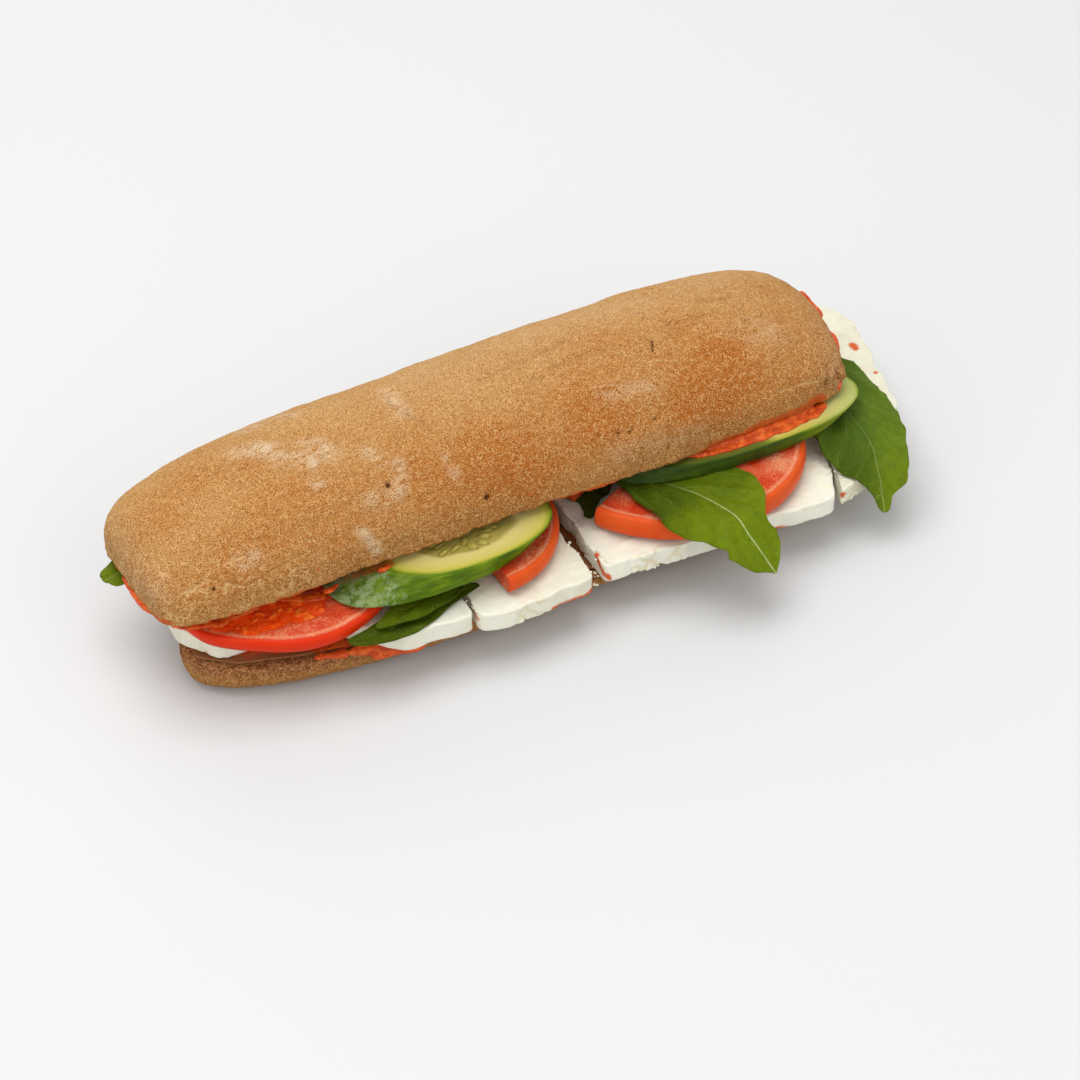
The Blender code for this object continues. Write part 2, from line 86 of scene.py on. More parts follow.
def kneaded(shape, cell, smoothing, divisions=0):
    """A rough body turned into a smooth skin of small even cells: points, normals and faces."""
    mesh = bpy.data.meshes.new("dough")
    shape.to_mesh(mesh)
    shape.free()
    dough = placed("dough", mesh)
    if divisions:
        divide = dough.modifiers.new("divide", "SUBSURF")
        divide.levels = divide.render_levels = divisions
    remesh = dough.modifiers.new("remesh", "REMESH")
    remesh.mode = "VOXEL"
    remesh.voxel_size = cell * CM
    smooth = dough.modifiers.new("smooth", "SMOOTH")
    smooth.iterations = smoothing
    graph = bpy.context.evaluated_depsgraph_get()
    made = bpy.data.meshes.new_from_object(dough.evaluated_get(graph))
    points = np.zeros(len(made.vertices) * 3)
    made.vertices.foreach_get("co", points)
    normals = np.zeros(len(made.vertices) * 3, np.float32)
    made.vertex_normals.foreach_get("vector", normals)
    faces = [tuple(face.vertices) for face in made.polygons]
    bpy.data.objects.remove(dough)
    bpy.data.meshes.remove(mesh)
    bpy.data.meshes.remove(made)
    return points.reshape(-1, 3) / CM, normals.reshape(-1, 3), faces


def baked_shape(node, cell):
    """The node's own solid with its facets rounded off, but not its sharp cut edges."""
    shape = bmesh.new()
    shape.from_mesh(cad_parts[node].data)
    bmesh.ops.remove_doubles(shape, verts=shape.verts, dist=1e-6)
    bmesh.ops.join_triangles(
        shape, faces=shape.faces, angle_face_threshold=0.5, angle_shape_threshold=1.0
    )
    crease = shape.edges.layers.float.new("crease_edge")
    for edge in shape.edges:
        if edge.calc_face_angle(0.0) > CREASE_ANGLE:
            edge[crease] = CREASE
    return kneaded(shape, cell, BAKED_SMOOTHING, divisions=2)


def distance(points, line):
    """How far points are from a line through some places, in centimetres."""
    far = np.full(points.shape[:-1], 1e9)
    for start, end in zip(line, line[1:] + line[-1:]):
        start, end = np.array(start), np.array(end)
        run = end - start
        share = np.clip((points - start) @ run / max(run @ run, 1e-9), 0.0, 1.0)
        far = np.minimum(far, np.linalg.norm(points - start - share[..., None] * run, axis=-1))
    return far


def nearest(points, lines):
    """How far points are from the nearest of some lines."""
    return np.min([distance(points, line) for line in lines], axis=0)


def nearness(points, line, reach):
    """1 on a line through some places, falling away over `reach` centimetres."""
    return hump(distance(points, line), reach)


def smudges(points, lines):
    """How much of something lies at points, from lines that each have a reach and an amount."""
    return sum(amount * nearness(points, line, reach) for line, reach, amount in lines)


def serve(name, node, slot, points, faces, finish, marks=None):
    """Makes a piece from points in centimetres. It stands for its node, if it has one."""
    mesh = bpy.data.meshes.new(name)
    mesh.from_pydata((points * CM).tolist(), [], faces)
    mesh.shade_smooth()
    for mark, values in (marks or {}).items():
        attribute = mesh.attributes.new(mark, "FLOAT", "POINT")
        attribute.data.foreach_set("value", np.ascontiguousarray(values, np.float32).ravel())
    mesh.materials.append(finish.material)
    piece = placed(name, mesh)
    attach(piece, "root")
    if node:
        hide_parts(node)


class Reading:
    """A value that varies over a surface: one output of a node, which sums can use as a number."""

    def __init__(self, finish, socket):
        self.finish, self.socket = finish, socket

    def sum(self, operation, first, second):
        return self.finish.node("ShaderNodeMath", {"operation": operation}, {0: first, 1: second})

    def __add__(self, other):
        return self.sum("ADD", self, other)

    def __radd__(self, other):
        return self.sum("ADD", other, self)

    def __sub__(self, other):
        return self.sum("SUBTRACT", self, other)

    def __rsub__(self, other):
        return self.sum("SUBTRACT", other, self)

    def __mul__(self, other):
        return self.sum("MULTIPLY", self, other)

    def __rmul__(self, other):
        return self.sum("MULTIPLY", other, self)

    def __abs__(self):
        return self.finish.node("ShaderNodeMath", {"operation": "ABSOLUTE"}, {0: self})


class Finish:
    """The look of one foodstuff, worked out point by point from where it is on the object."""

    def __init__(self, name, **sockets):
        self.material = bpy.data.materials.new(name)
        self.material.use_nodes = True
        self.tree = self.material.node_tree
        self.surface = self.tree.nodes["Principled BSDF"]
        self.place = self.node("ShaderNodeTexCoord", output="Object")
        self.wear(sockets)

    def node(self, kind, settings=None, sockets=None, output=0):
        """One node of the material, read at one of its outputs."""
        made = self.tree.nodes.new(kind)
        for key, value in (settings or {}).items():
            if key == "stops":
                ramp = made.color_ramp
                while len(ramp.elements) < len(value):
                    ramp.elements.new(1.0)
                for stop, (share, colour) in zip(ramp.elements, value):
                    stop.position, stop.color = share, (*colour, 1.0)
            else:
                setattr(made, key, value)
        for key, value in (sockets or {}).items():
            self.join(made.inputs[key], value)
        return Reading(self, made.outputs[output])

    def join(self, socket, value):
        """Gives a socket a reading, a colour or a number."""
        if isinstance(value, Reading):
            self.tree.links.new(value.socket, socket)
        elif socket.type == "RGBA":
            socket.default_value = (*value, 1.0)
        else:
            socket.default_value = value

    def wear(self, sockets):
        """Sets inputs of the surface itself, such as its base colour."""
        for key, value in sockets.items():
            title = key.replace("_", " ").title().replace("Ior", "IOR")
            self.join(self.surface.inputs[title], value)

    def mark(self, name):
        """A mark that the mesh carries, such as how floury it is."""
        return self.node("ShaderNodeAttribute", {"attribute_name": name}, output="Fac")

    def cloud(self, size, detail=2.0, rough=0.5, stretch=None):
        """Soft random patches about `size` centimetres across, between 0 and 1."""
        place = self.place
        if stretch:
            place = self.node(
                "ShaderNodeVectorMath", {"operation": "MULTIPLY"}, {0: place, 1: stretch}
            )
        sockets = {"Vector": place, "Scale": 1.0 / (size * CM), "Detail": detail, "Roughness": rough}
        return self.node("ShaderNodeTexNoise", {"noise_dimensions": "3D"}, sockets)

    def cells(self, size, feature="F1", bend=0.0):
        """Distances between random points about `size` centimetres apart, or lines between them."""
        place = self.place
        if bend:
            sockets = {"Vector": place, "Scale": 2.0 / (size * CM)}
            sway = self.node("ShaderNodeTexNoise", None, sockets, "Color")
            shift = {0: sway, 1: (bend * CM,) * 3, 2: place}
            place = self.node("ShaderNodeVectorMath", {"operation": "MULTIPLY_ADD"}, shift)
        sockets = {"Vector": place, "Scale": 1.0 / (size * CM)}
        return self.node("ShaderNodeTexVoronoi", {"feature": feature}, sockets, "Distance")

    def above(self, value, low, high):
        """0 where a value is under `low`, 1 where it is over `high`, smooth between."""
        sockets = {"Value": value, "From Min": low, "From Max": high}
        return self.node("ShaderNodeMapRange", {"interpolation_type": "SMOOTHSTEP"}, sockets)

    def mix(self, share, first, second):
        """The first colour where the share is 0, and the second where it is 1."""
        return self.node(
            "ShaderNodeMix", {"data_type": "RGBA"}, {0: share, 6: first, 7: second}, output=2
        )

    def coated(self, colour, *coats):
        """A colour with others laid over it in turn, each as thickly as its share says."""
        for share, coat in coats:
            colour = self.mix(share, colour, coat)
        return colour

    def tones(self, value, *stops):
        """A colour read off a scale by a value between 0 and 1."""
        return self.node("ShaderNodeValToRGB", {"stops": stops}, {"Fac": value})

    def relief(self, height, depth):
        """A fine roughness of the surface, `depth` centimetres deep, that light catches on."""
        sockets = {"Height": height, "Distance": depth * CM, "Strength": 1.0}
        self.wear({"normal": self.node("ShaderNodeBump", None, sockets, output="Normal")})


def crust_finish(name):
    """Wholemeal crust: tan, speckled with pale flour grains and darker bran, redder where its redness
    mark is high. Flour lies on it in thin streaks, and its cracks show the paler dough."""
    crust = Finish(name, specular_ior_level=0.08, roughness=0.85)
    broad = crust.cloud(2.4, detail=3.0)
    middle = crust.cloud(0.55, detail=4.0, rough=0.6)
    clumps = crust.cloud(0.15, detail=3.0, rough=0.6)
    grains = crust.cloud(0.04, detail=1.0)
    meal = 1.0 - crust.cells(0.05) + (grains - 0.5) * 0.6
    warm = crust.above(broad * 0.65 + middle * 0.25 + crust.mark("baked") * 0.36, 0.15, 0.95)
    tan = crust.tones(
        warm,
        (0.0, (0.485, 0.265, 0.095)),
        (0.45, (0.425, 0.187, 0.049)),
        (1.0, (0.385, 0.115, 0.015)),
    )
    pale = crust.above(meal + (clumps - 0.5) * 0.8, 0.46, 0.80)
    bright = crust.above(meal + (clumps - 0.5) * 0.6, 0.70, 0.88) * crust.above(middle, 0.3, 0.68)
    wisps = crust.cloud(0.4, detail=6.0, rough=0.65, stretch=(0.45, 1.0, 1.0))
    vein = abs(wisps - 0.5) * -7.0 + 1.0
    dusted = crust.mark("flour")
    powder = dusted * crust.above(middle + (meal - 0.4) * 0.3 + (wisps - 0.5), 0.42, 0.68)
    floury = dusted * crust.above(vein + (meal - 0.4) * 0.6, 0.35, 1.0)
    wander = (clumps - 0.5) * 0.22 + (middle - 0.5) * 0.1
    crack = 1.0 - crust.above(crust.mark("crack") + wander, 0.015, 0.05)
    crack = crack * crust.above(middle + clumps * 0.4, 0.62, 0.74)
    web = 1.0 - crust.above(crust.cells(0.8, "DISTANCE_TO_EDGE", bend=0.6), 0.0, 0.045)
    crack = crack + web * crust.mark("crackle") * crust.above(middle, 0.44, 0.56)
    # Painted shade: pits and slits are coloured near black.
    pit = 1.0 - crust.above(crust.mark("pit") + wander * 0.3, 0.0, 0.03)
    crumb = crust.tones(
        clumps * 0.6 + meal * 0.4,
        (0.36, (0.15, 0.055, 0.017)),
        (0.5, (0.30, 0.12, 0.038)),
        (0.62, (0.50, 0.25, 0.10)),
    )
    stained = crust.above(crust.mark("sauce") + (clumps - 0.5) * 1.6 + (middle - 0.5), 0.3, 0.75)
    tan = crust.coated(
        tan,
        # Greyer crust, and painted shade in the dents and along the folds.
        (crust.mark("grey") * 0.75, (0.28, 0.13, 0.036)),
        (crust.above(clumps, 0.42, 0.66) * 0.2, (0.58, 0.34, 0.13)),
        (pale * 0.42, (0.73, 0.45, 0.18)),
        (bright * 0.6, (0.86, 0.62, 0.33)),
        (crust.above(1.0 - meal, 0.56, 0.95) * 0.56, (0.16, 0.048, 0.008)),
        (powder * 0.36, (0.58, 0.40, 0.22)),
        (floury * 0.68, (0.68, 0.50, 0.32)),
        (crack * 0.7, (0.68, 0.45, 0.19)),
        (pit * 0.85, (0.055, 0.015, 0.004)),
        (crust.mark("crumb"), crumb),
        (stained * 0.92, crust.mix(clumps, (0.30, 0.035, 0.004), (0.66, 0.13, 0.02))),
    )
    crust.wear({"base color": tan, "roughness": 0.85 - stained * 0.45})
    crust.relief(meal * 0.7 + clumps * 0.7 + middle * 0.6 + floury * 0.1 - crack * 0.2, 0.05)
    return crust


def level_of(node):
    """The height of the node's top, in centimetres."""
    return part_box(node)[1].z / CM


LOWER_CRACKS = [
    [(-10.4, -2.5, 0.5), (-9.4, -2.7, 0.55), (-8.2, -2.95, 0.45), (-7.4, -3.05, 0.6)],
    [(-11.4, -1.6, 0.6), (-10.6, -2.2, 0.75)],
    [(-4.5, -3.3, 0.5), (-2.5, -3.4, 0.6), (-1.0, -3.4, 0.5)],
]
# Pits in the lower half's crust, painted near black as shade inside them.
LOWER_PITS = [[(-9.9, -2.45, 0.8)], [(-7.0, -3.05, 0.5)], [(-8.6, -2.75, 0.75)]]
LOWER_PITS += [[(-3.0, -3.35, 0.8)]]
LOWER_PIT_SIZE = 0.05
LOWER_SAUCE = [(-5.6, -3.2, 1.1), (-7.4, -3.0, 1.2)]

points, normals, faces = baked_shape("roll_bottom", LOWER_CELL)
cut_height = level_of("roll_bottom")
below_cut = cut_height - points[:, 2]
open_crumb = fade(-below_cut + 0.10 * lumps(points, 0.5, 5), -0.50, -0.22)
open_crumb *= fade(points[:, 2], 0.3, 0.6)
craggy = lumps(points, 0.28, 1) + 0.6 * lumps(points, 0.13, 2)
push = 0.03 * lumps(points, 0.7, 3) + 0.02 * lumps(points, 0.25, 4)
push = push * (1.0 - open_crumb) + open_crumb * (0.07 * craggy - 0.02)
push *= fade(points[:, 2], 0.0, 0.12) * fade(below_cut, 0.0, 0.06)
points = points + normals * push[:, None]
points[:, 2] = np.clip(points[:, 2], 0.0, cut_height)
marks = {
    "baked": 0.5 + 0.3 * lumps(points, 1.2, 6),
    "grey": 0.75 + 0.25 * lumps(points, 0.6, 7),
    "crack": nearest(points, LOWER_CRACKS),
    "pit": nearest(points, LOWER_PITS) - LOWER_PIT_SIZE,
    "crumb": open_crumb,
    "sauce": nearness(points, LOWER_SAUCE, 0.25),
}
look = crust_finish("wholemeal_lower")
serve("bread_lower_half", "roll_bottom", "crust", points, faces, look, marks)

# ---------------------------------------------------------------------------------------------
# The pepper spread on the two cut faces: roasted red pepper and tomato crushed to a coarse wet
# paste and spread by knife, so that it swells and breaks up along its edge.

MIDDLE = np.array((-1.336, 0.682))
LOWER_LENGTH, LOWER_WIDTH = 22.4, 6.2
UPPER_LENGTH, UPPER_WIDTH = 23.6, 6.55
DROOP, DROOP_RUN = 0.3, 7.0
SPREAD_CELL, SPREAD_ROUNDING, SPREAD_DEPTH = 0.06, 0.03, 0.9
UPPER_SPREAD_THICKNESS, OUTLINE_STEPS = 0.09, 400
# Each spread's node, length and width, how square its two ends are, its middle and its seed.
SPREADS = {
    "pepper_spread_lower": (
        "spread_bottom",
        (LOWER_LENGTH - 0.5, LOWER_WIDTH - 0.5),
        (2.4, 4.5),
        MIDDLE + (0.4, -0.95),
        11,
    ),
    "pepper_spread_upper": (
        "spread_top",
        (UPPER_LENGTH - 0.8, UPPER_WIDTH - 0.9),
        (6.6, 6.5),
        MIDDLE + (0.0, 0.28),
        23,
    ),
}
# Where the lower spread is so thin that the bread shows: lines, reaches and amounts.
SPREAD_GAPS = [
    ([(-0.25, -4.1, 1.4), (0.0, -0.5, 1.4)], 0.4, 1.0),
    ([(-12.2, -1.2, 1.4), (-11.2, -2.2, 1.4), (-9.6, -2.7, 1.4)], 0.9, 1.0),
]


def sideways(run):
    """The directions in plan that lie to the left of some others."""
    return unit(np.stack([-run[:, 1], run[:, 0]], axis=1))


def walked(corners, step):
    """A closed outline walked in even steps."""
    loop = np.vstack([corners, corners[:1]])
    run = np.concatenate([[0.0], np.cumsum(np.hypot(*np.diff(loop, axis=0).T))])
    places = np.linspace(0.0, run[-1], int(round(run[-1] / step)), endpoint=False)
    return np.stack([np.interp(places, run, loop[:, k]) for k in (0, 1)], axis=1)


class Slice:
    """A flat piece of food as rings of points, from the middle of its underside out round its
    edge to the middle of its top, with how far in from the edge each point is. On top, the rings
    lie about a cell apart as far in as `depth`, and wider apart from there."""

    def __init__(self, outline, middle, low, high, cell, rounding, depth):
        # A ring is a share of the outline's size, an inset from it and a height.
        corner = np.radians(np.linspace(0.0, 90.0, max(3, round(rounding * 1.6 / cell))))
        over = [
            (1.0, rounding * (1 - math.cos(a)), high - rounding * (1 - math.sin(a))) for a in corner
        ]
        under = [(1.0, inset, low + high - height) for _, inset, height in reversed(over)]
        straight = high - low - 2 * rounding
        side = max(2, round(straight / cell))
        walls = [(1.0, 0.0, low + rounding + straight * k / side) for k in range(1, side)]
        steps = max(2, round((depth - rounding) / cell))
        inner = [(1.0, rounding + (depth - rounding) * k / steps) for k in range(1, steps + 1)]
        inner += [(share, depth) for share in (0.93, 0.84, 0.72, 0.58, 0.42, 0.25, 0.08)]
        below = [(share, inset, low) for share, inset in reversed(inner[::2])]
        above = [(share, inset, high) for share, inset in inner]
        rings = below + under + walls + over + above
        self.low, self.high = low, high
        out = outline - middle
        reach = np.hypot(*out.T)
        points = []
        for share, inset, height in rings:
            keep = share * (1.0 - np.minimum(inset / reach, 0.8))
            flat = middle + out * keep[:, None]
            points.append(np.column_stack([flat, np.full(len(out), height)]))
        self.points = np.array(points)
        self.inset = np.array([inset + (1.0 - share) * reach for share, inset, _ in rings])

    def up(self):
        """How far up its thickness each point is, from 0 to 1."""
        return np.clip((self.points[..., 2] - self.low) / (self.high - self.low), 0.0, 1.0)

    def push(self, amount):
        """Moves each point straight out of the surface by its own amount."""
        round_it = np.roll(self.points, -1, axis=1) - np.roll(self.points, 1, axis=1)
        over_it = np.gradient(self.points, axis=0)
        self.points = self.points + unit(np.cross(round_it, over_it)) * amount[..., None]

    def cut_sides(self):
        """1 on its two flat sides, and 0 between them."""
        return np.abs(fade(self.up(), 0.9, 1.0) - fade(1.0 - self.up(), 0.9, 1.0))

    def serve(self, name, node, slot, finish, marks):
        """Makes the piece. A point in the middle closes each side, and bears the mean of the marks
        round it."""
        shape = self.points.shape[:2]
        last = math.prod(shape)
        grid = np.arange(last).reshape(shape)
        near, far = grid[:-1], grid[1:]
        quads = np.stack([near, np.roll(near, -1, 1), np.roll(far, -1, 1), far], -1).reshape(-1, 4)
        faces = quads.tolist()
        faces += [(last, int(b), int(a)) for a, b in zip(grid[0], np.roll(grid[0], -1))]
        faces += [(last + 1, int(a), int(b)) for a, b in zip(grid[-1], np.roll(grid[-1], -1))]
        points = [self.points.reshape(-1, 3), [self.points[k].mean(axis=0) for k in (0, -1)]]
        for mark, values in marks.items():
            values = np.broadcast_to(values, shape)
            ends = [values[k].mean() for k in (0, -1)]
            marks[mark] = np.concatenate([values.reshape(-1), ends])
        serve(name, node, slot, np.vstack(points), faces, finish, marks)


def end_share(t, ends):
    """How much of its full width a roll has at t, from -1 at its left end to 1 at its right one."""
    squareness = np.where(t < 0, ends[0], ends[1])
    return np.maximum(0.0, 1.0 - np.abs(t) ** squareness) ** (1.0 / squareness)


def spread_outline(size, ends, place, seed):
    """The wandering edge of a spread: the cut face's outline, drawn in a little."""
    length, width = size
    t = -np.cos(np.pi * (np.arange(OUTLINE_STEPS) + 0.5) / OUTLINE_STEPS)
    loop = []
    for side, run in ((-1, t), (1, -t)):
        x, y = run * length / 2, side * width / 2 * end_share(run, ends)
        straight = (length - width) / 2
        out = unit(np.stack([x - np.clip(x, -straight, straight), y], axis=1))
        flat = np.stack([x, y, 0.0 * x], axis=1)
        wander = 0.2 * lumps(flat, 1.7, seed) + 0.1 * lumps(flat, 0.7, seed + 1)
        loop.append(place + np.stack([x, y], axis=1) + out * wander[:, None])
    return walked(np.vstack(loop), SPREAD_CELL)


def sauce_finish():
    """Crushed red pepper: orange-red, wet, with darker skins and paler seeds and pulp in it."""
    sauce = Finish(
        "red_pepper_spread",
        subsurface_weight=0.25,
        subsurface_radius=(1.0, 0.25, 0.08),
        subsurface_scale=0.0012,
        coat_roughness=0.12,
        specular_ior_level=0.15,
    )
    chunk = sauce.cloud(0.22, detail=3.0, rough=0.6)
    pulp = sauce.cloud(0.06, detail=3.0, rough=0.7)
    red = sauce.tones(
        chunk * 0.6 + pulp * 0.4,
        (0.36, (0.40, 0.036, 0.004)),
        (0.48, (0.54, 0.064, 0.005)),
        (0.60, (0.70, 0.13, 0.014)),
    )
    crumb = sauce.mix(pulp, (0.10, 0.03, 0.008), (0.36, 0.15, 0.05))
    bare = sauce.above(sauce.mark("thin") + chunk - 0.5, 0.3, 0.6)
    seeds = sauce.above(1.0 - sauce.cells(0.16), 0.86, 0.93)
    red = sauce.coated(red, (bare, crumb), (seeds * 0.4, (0.85, 0.40, 0.08)))
    sauce.wear({"base color": red, "roughness": 0.28 + pulp * 0.25, "coat weight": 0.25 * chunk})
    sauce.relief(chunk * 0.6 + pulp * 0.4, 0.04)
    return sauce


def droop(x):
    """How far the upper half of the roll hangs down towards its left end."""
    past = np.maximum(0.0, DROOP_RUN - UPPER_LENGTH / 2 - (x - MIDDLE[0])) / DROOP_RUN
    return DROOP * past**2


red_sauce = sauce_finish()
for name, (node, size, ends, place, seed) in SPREADS.items():
    outline, high = spread_outline(size, ends, place, seed), level_of(node)
    low = high - UPPER_SPREAD_THICKNESS if node == "spread_top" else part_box(node)[0].z / CM
    layer = Slice(outline, place, low, high, SPREAD_CELL / 2, SPREAD_ROUNDING, SPREAD_DEPTH)
    if node == "spread_top":
        layer.points[..., 2] -= droop(layer.points[..., 0])
    rim = 1.0 - fade(layer.inset, 0.0, 0.5)
    rough = lumps(layer.points, 0.35, seed + 2) + 0.7 * lumps(layer.points, 0.15, seed + 3)
    out = unit(layer.points[..., :2] - place)
    layer.points[..., :2] += out * (rim * 0.05 * rough)[..., None]
    marks = {"thin": smudges(layer.points, SPREAD_GAPS)}
    layer.serve(name, node, "pepper_spread", red_sauce, marks)

# ---------------------------------------------------------------------------------------------
# The feta: five pieces cut about 6 mm thick from a block. It is white, moist and brittle, so the
# tops are smooth from the knife and the sides break into fine crumbs.

FETA_LEVEL, FETA_THICKNESS = 1.42, 0.64
FETA_CELL, FETA_ROUNDING, FETA_DEPTH = 0.05, 0.055, 2.6
FETA_CORNER, FETA_RAGGED = 0.22, 0.09
SLABS = {
    "feta_1": [(-10.9, -0.7), (-10.1, -2.05), (-7.0, -2.3), (-7.0, 2.7), (-10.3, 2.5)],
    "feta_2": [(-6.6, -3.0), (-5.2, -4.35), (-3.05, -4.6), (-2.75, 2.7), (-6.6, 2.9)],
    "feta_3": [(-2.9, -4.75), (-2.3, -5.0), (0.95, -4.85), (1.25, 2.6), (-2.4, 2.8)],
    "feta_4": [(1.4, -4.65), (4.0, -4.9), (9.2, -5.3), (9.88, -4.16), (10.29, -2.8)],
    "feta_5": [(9.55, -5.15), (10.75, -4.85), (13.6, -2.4), (14.1, -0.5), (14.95, 2.1)],
}
SLABS["feta_4"] += [(10.34, 2.4), (1.9, 2.6)]
SLABS["feta_5"] += [(14.5, 3.4), (10.4, 3.2), (10.35, -2.8), (9.94, -4.19)]
# Painted light that whitens feta_4 and painted shade that greys feta_5, and the line where they meet
# cleanly.
FETA_PAINTED_LIGHT_AND_SHADE = {"feta_4": 1.0, "feta_5": -0.7}
FETA_JOINT = [(9.4, -5.2, 0.0), (9.91, -4.17, 0.0), (10.32, -2.8, 0.0), (10.37, 2.8, 0.0)]
# Lines and spots of sauce on the feta, each with its reach.
FETA_STAINS = [
    ([(0.12, -3.3, 2.05), (0.1, -3.8, 1.75), (0.2, -4.1, 1.5)], 0.13),
    ([(-1.9, -4.25, 1.46), (-0.7, -4.2, 1.44)], 0.10),
    ([(-4.3, -3.9, 1.8), (-4.25, -3.2, 2.0)], 0.10),
    ([(-0.5, -4.1, 1.5), (-0.35, -3.6, 1.55)], 0.14),
    ([(12.78, 1.62, 2.06)], 0.17),
    ([(12.76, 1.4, 2.06)], 0.11),
    ([(12.56, 0.0, 2.06)], 0.10),
    ([(5.3, -4.4, 1.43), (6.9, -4.4, 1.43)], 0.12),
    ([(8.3, -4.41, 1.8)], 0.14),
]


def broken_outline(corners, seed):
    """A polygon with rounded corners and an uneven edge, but hardly uneven along the joint."""
    path = []
    for i, corner in enumerate(corners):
        corner = np.array(corner)
        ends = [np.array(corners[k % len(corners)]) - corner for k in (i - 1, i + 1)]
        start, end = (corner + unit(way) * FETA_CORNER for way in ends)
        for share in np.linspace(0.0, 1.0, 7):
            path.append((1 - share) ** 2 * start + 2 * share * (1 - share) * corner + share**2 * end)
    loop = walked(np.array(path), FETA_CELL)
    run = np.roll(loop, -1, axis=0) - np.roll(loop, 1, axis=0)
    flat = np.column_stack([loop, np.zeros(len(loop))])
    ragged = FETA_RAGGED * (1.0 - 0.9 * nearness(flat, FETA_JOINT, 0.4))
    return loop + sideways(run) * (ragged * lumps(flat, 0.75, seed))[:, None]


def feta_finish():
    """Feta: creamy white, a little yellower in its cracks, wet enough for a soft shine."""
    feta = Finish(
        "feta_cheese",
        subsurface_weight=0.15,
        subsurface_radius=(1.0, 0.8, 0.5),
        subsurface_scale=0.0015,
        specular_ior_level=0.2,
    )
    broad = feta.cloud(1.2, detail=3.0)
    fine = feta.cloud(0.12, detail=4.0, rough=0.7)
    streak = feta.cloud(0.35, detail=3.0, stretch=(1.0, 1.0, 0.15))
    # The pale mark is painted light on feta_4 and painted shade on feta_5.
    white = feta.tones(
        broad * 0.4 + streak * 0.4 + fine * 0.2 + feta.mark("pale") * 0.16,
        (0.2, (0.585, 0.565, 0.43)),
        (0.36, (0.665, 0.64, 0.495)),
        (0.5, (0.715, 0.70, 0.57)),
        (0.64, (0.75, 0.735, 0.63)),
        (0.8, (0.79, 0.785, 0.62)),
    )
    stain = feta.above(feta.mark("stain") + (fine - 0.5) * 1.1, 0.22, 0.85)
    white = feta.coated(
        white,
        (feta.mark("crevice") * 0.7, (0.72, 0.60, 0.36)),
        (stain * 0.97, feta.mix(fine, (0.40, 0.028, 0.002), (0.70, 0.14, 0.012))),
    )
    feta.wear({"base color": white, "roughness": 0.5 + fine * 0.3})
    feta.relief(fine * 0.6 + streak * 0.3, 0.02)
    return feta


feta_look = feta_finish()
for seed, (node, corners) in enumerate(SLABS.items(), start=31):
    outline = broken_outline(corners, seed) + MIDDLE
    middle, high = outline.mean(axis=0), FETA_LEVEL + FETA_THICKNESS
    slab = Slice(outline, middle, FETA_LEVEL, high, FETA_CELL, FETA_ROUNDING, FETA_DEPTH)
    points, up = slab.points, slab.up()
    crumbly = fade(lumps(points, 1.6, seed + 1), -0.1, 0.45)
    break_lines = np.abs(lumps(points, 0.42, seed + 2))
    chunks = fade(break_lines, 0.0, 0.16) - 1.0
    wall = 1.0 - fade(slab.inset, 0.05, 0.35)
    push = 0.045 * crumbly * wall * (chunks + 0.6 * lumps(points, 0.16, seed + 3))
    push += 0.022 * lumps(points, 0.5, seed + 4) * wall
    push += 0.010 * lumps(points, 0.22, seed + 5)
    push -= 0.05 * fade(lumps(points, 0.9, seed + 6), 0.1, 0.6) * up
    slab.push(np.minimum(push, 0.03))
    marks = {
        "crevice": -chunks * crumbly * wall,
        # Painted light on this slab where above 0, painted shade where below 0.
        "pale": FETA_PAINTED_LIGHT_AND_SHADE.get(node, 0.0),
        "stain": sum(nearness(slab.points, line, reach) for line, reach in FETA_STAINS),
    }
    slab.serve(node.replace("feta", "feta_piece"), node, "feta", feta_look, marks)

# ---------------------------------------------------------------------------------------------
# Crumbs of feta: small dry bits that broke off when the slabs were cut and laid. Most of them lie
# along the broken ends and in the gap between the two middle slabs.

# Each line's places, how far from it crumbs lie, and how many there are.
CRUMB_LINES = [
    ([(-0.32, -4.0, 1.44), (0.0, -3.6, 1.45), (-0.1, -3.0, 1.45)], 0.07, 16),
    ([(-0.47, -3.95, 2.06), (-0.4, -3.2, 2.06), (-0.36, -2.5, 2.06)], 0.06, 14),
    ([(0.14, -3.8, 2.06), (0.12, -3.3, 2.06), (0.12, -2.6, 2.06)], 0.06, 14),
    ([(-4.3, -3.85, 2.06), (-4.2, -3.3, 2.06)], 0.08, 8),
    ([(1.2, -4.12, 1.5), (3.0, -4.2, 1.48)], 0.04, 8),
    ([(8.5, -3.9, 2.06), (8.7, -3.2, 2.06)], 0.08, 8),
]
CRUMB_SIZES, CRUMB_LUMPS = (0.015, 0.045), 0.012


def along(values, share):
    """Reads a list of numbers or points at a share of its length, by a smooth curve through them."""
    values = np.array(values, float)
    last = len(values) - 1
    at = np.clip(share, 0.0, 1.0) * last
    i = np.minimum(at.astype(int), last - 1)
    f = at - i
    f = f[:, None] if values.ndim > 1 else f
    p0, p1, p2, p3 = (values[np.clip(i + k, 0, last)] for k in (-1, 0, 1, 2))
    bend = 2 * p0 - 5 * p1 + 4 * p2 - p3 + f * (3 * (p1 - p2) + p3 - p0)
    return p1 + 0.5 * f * (p2 - p0 + f * bend)


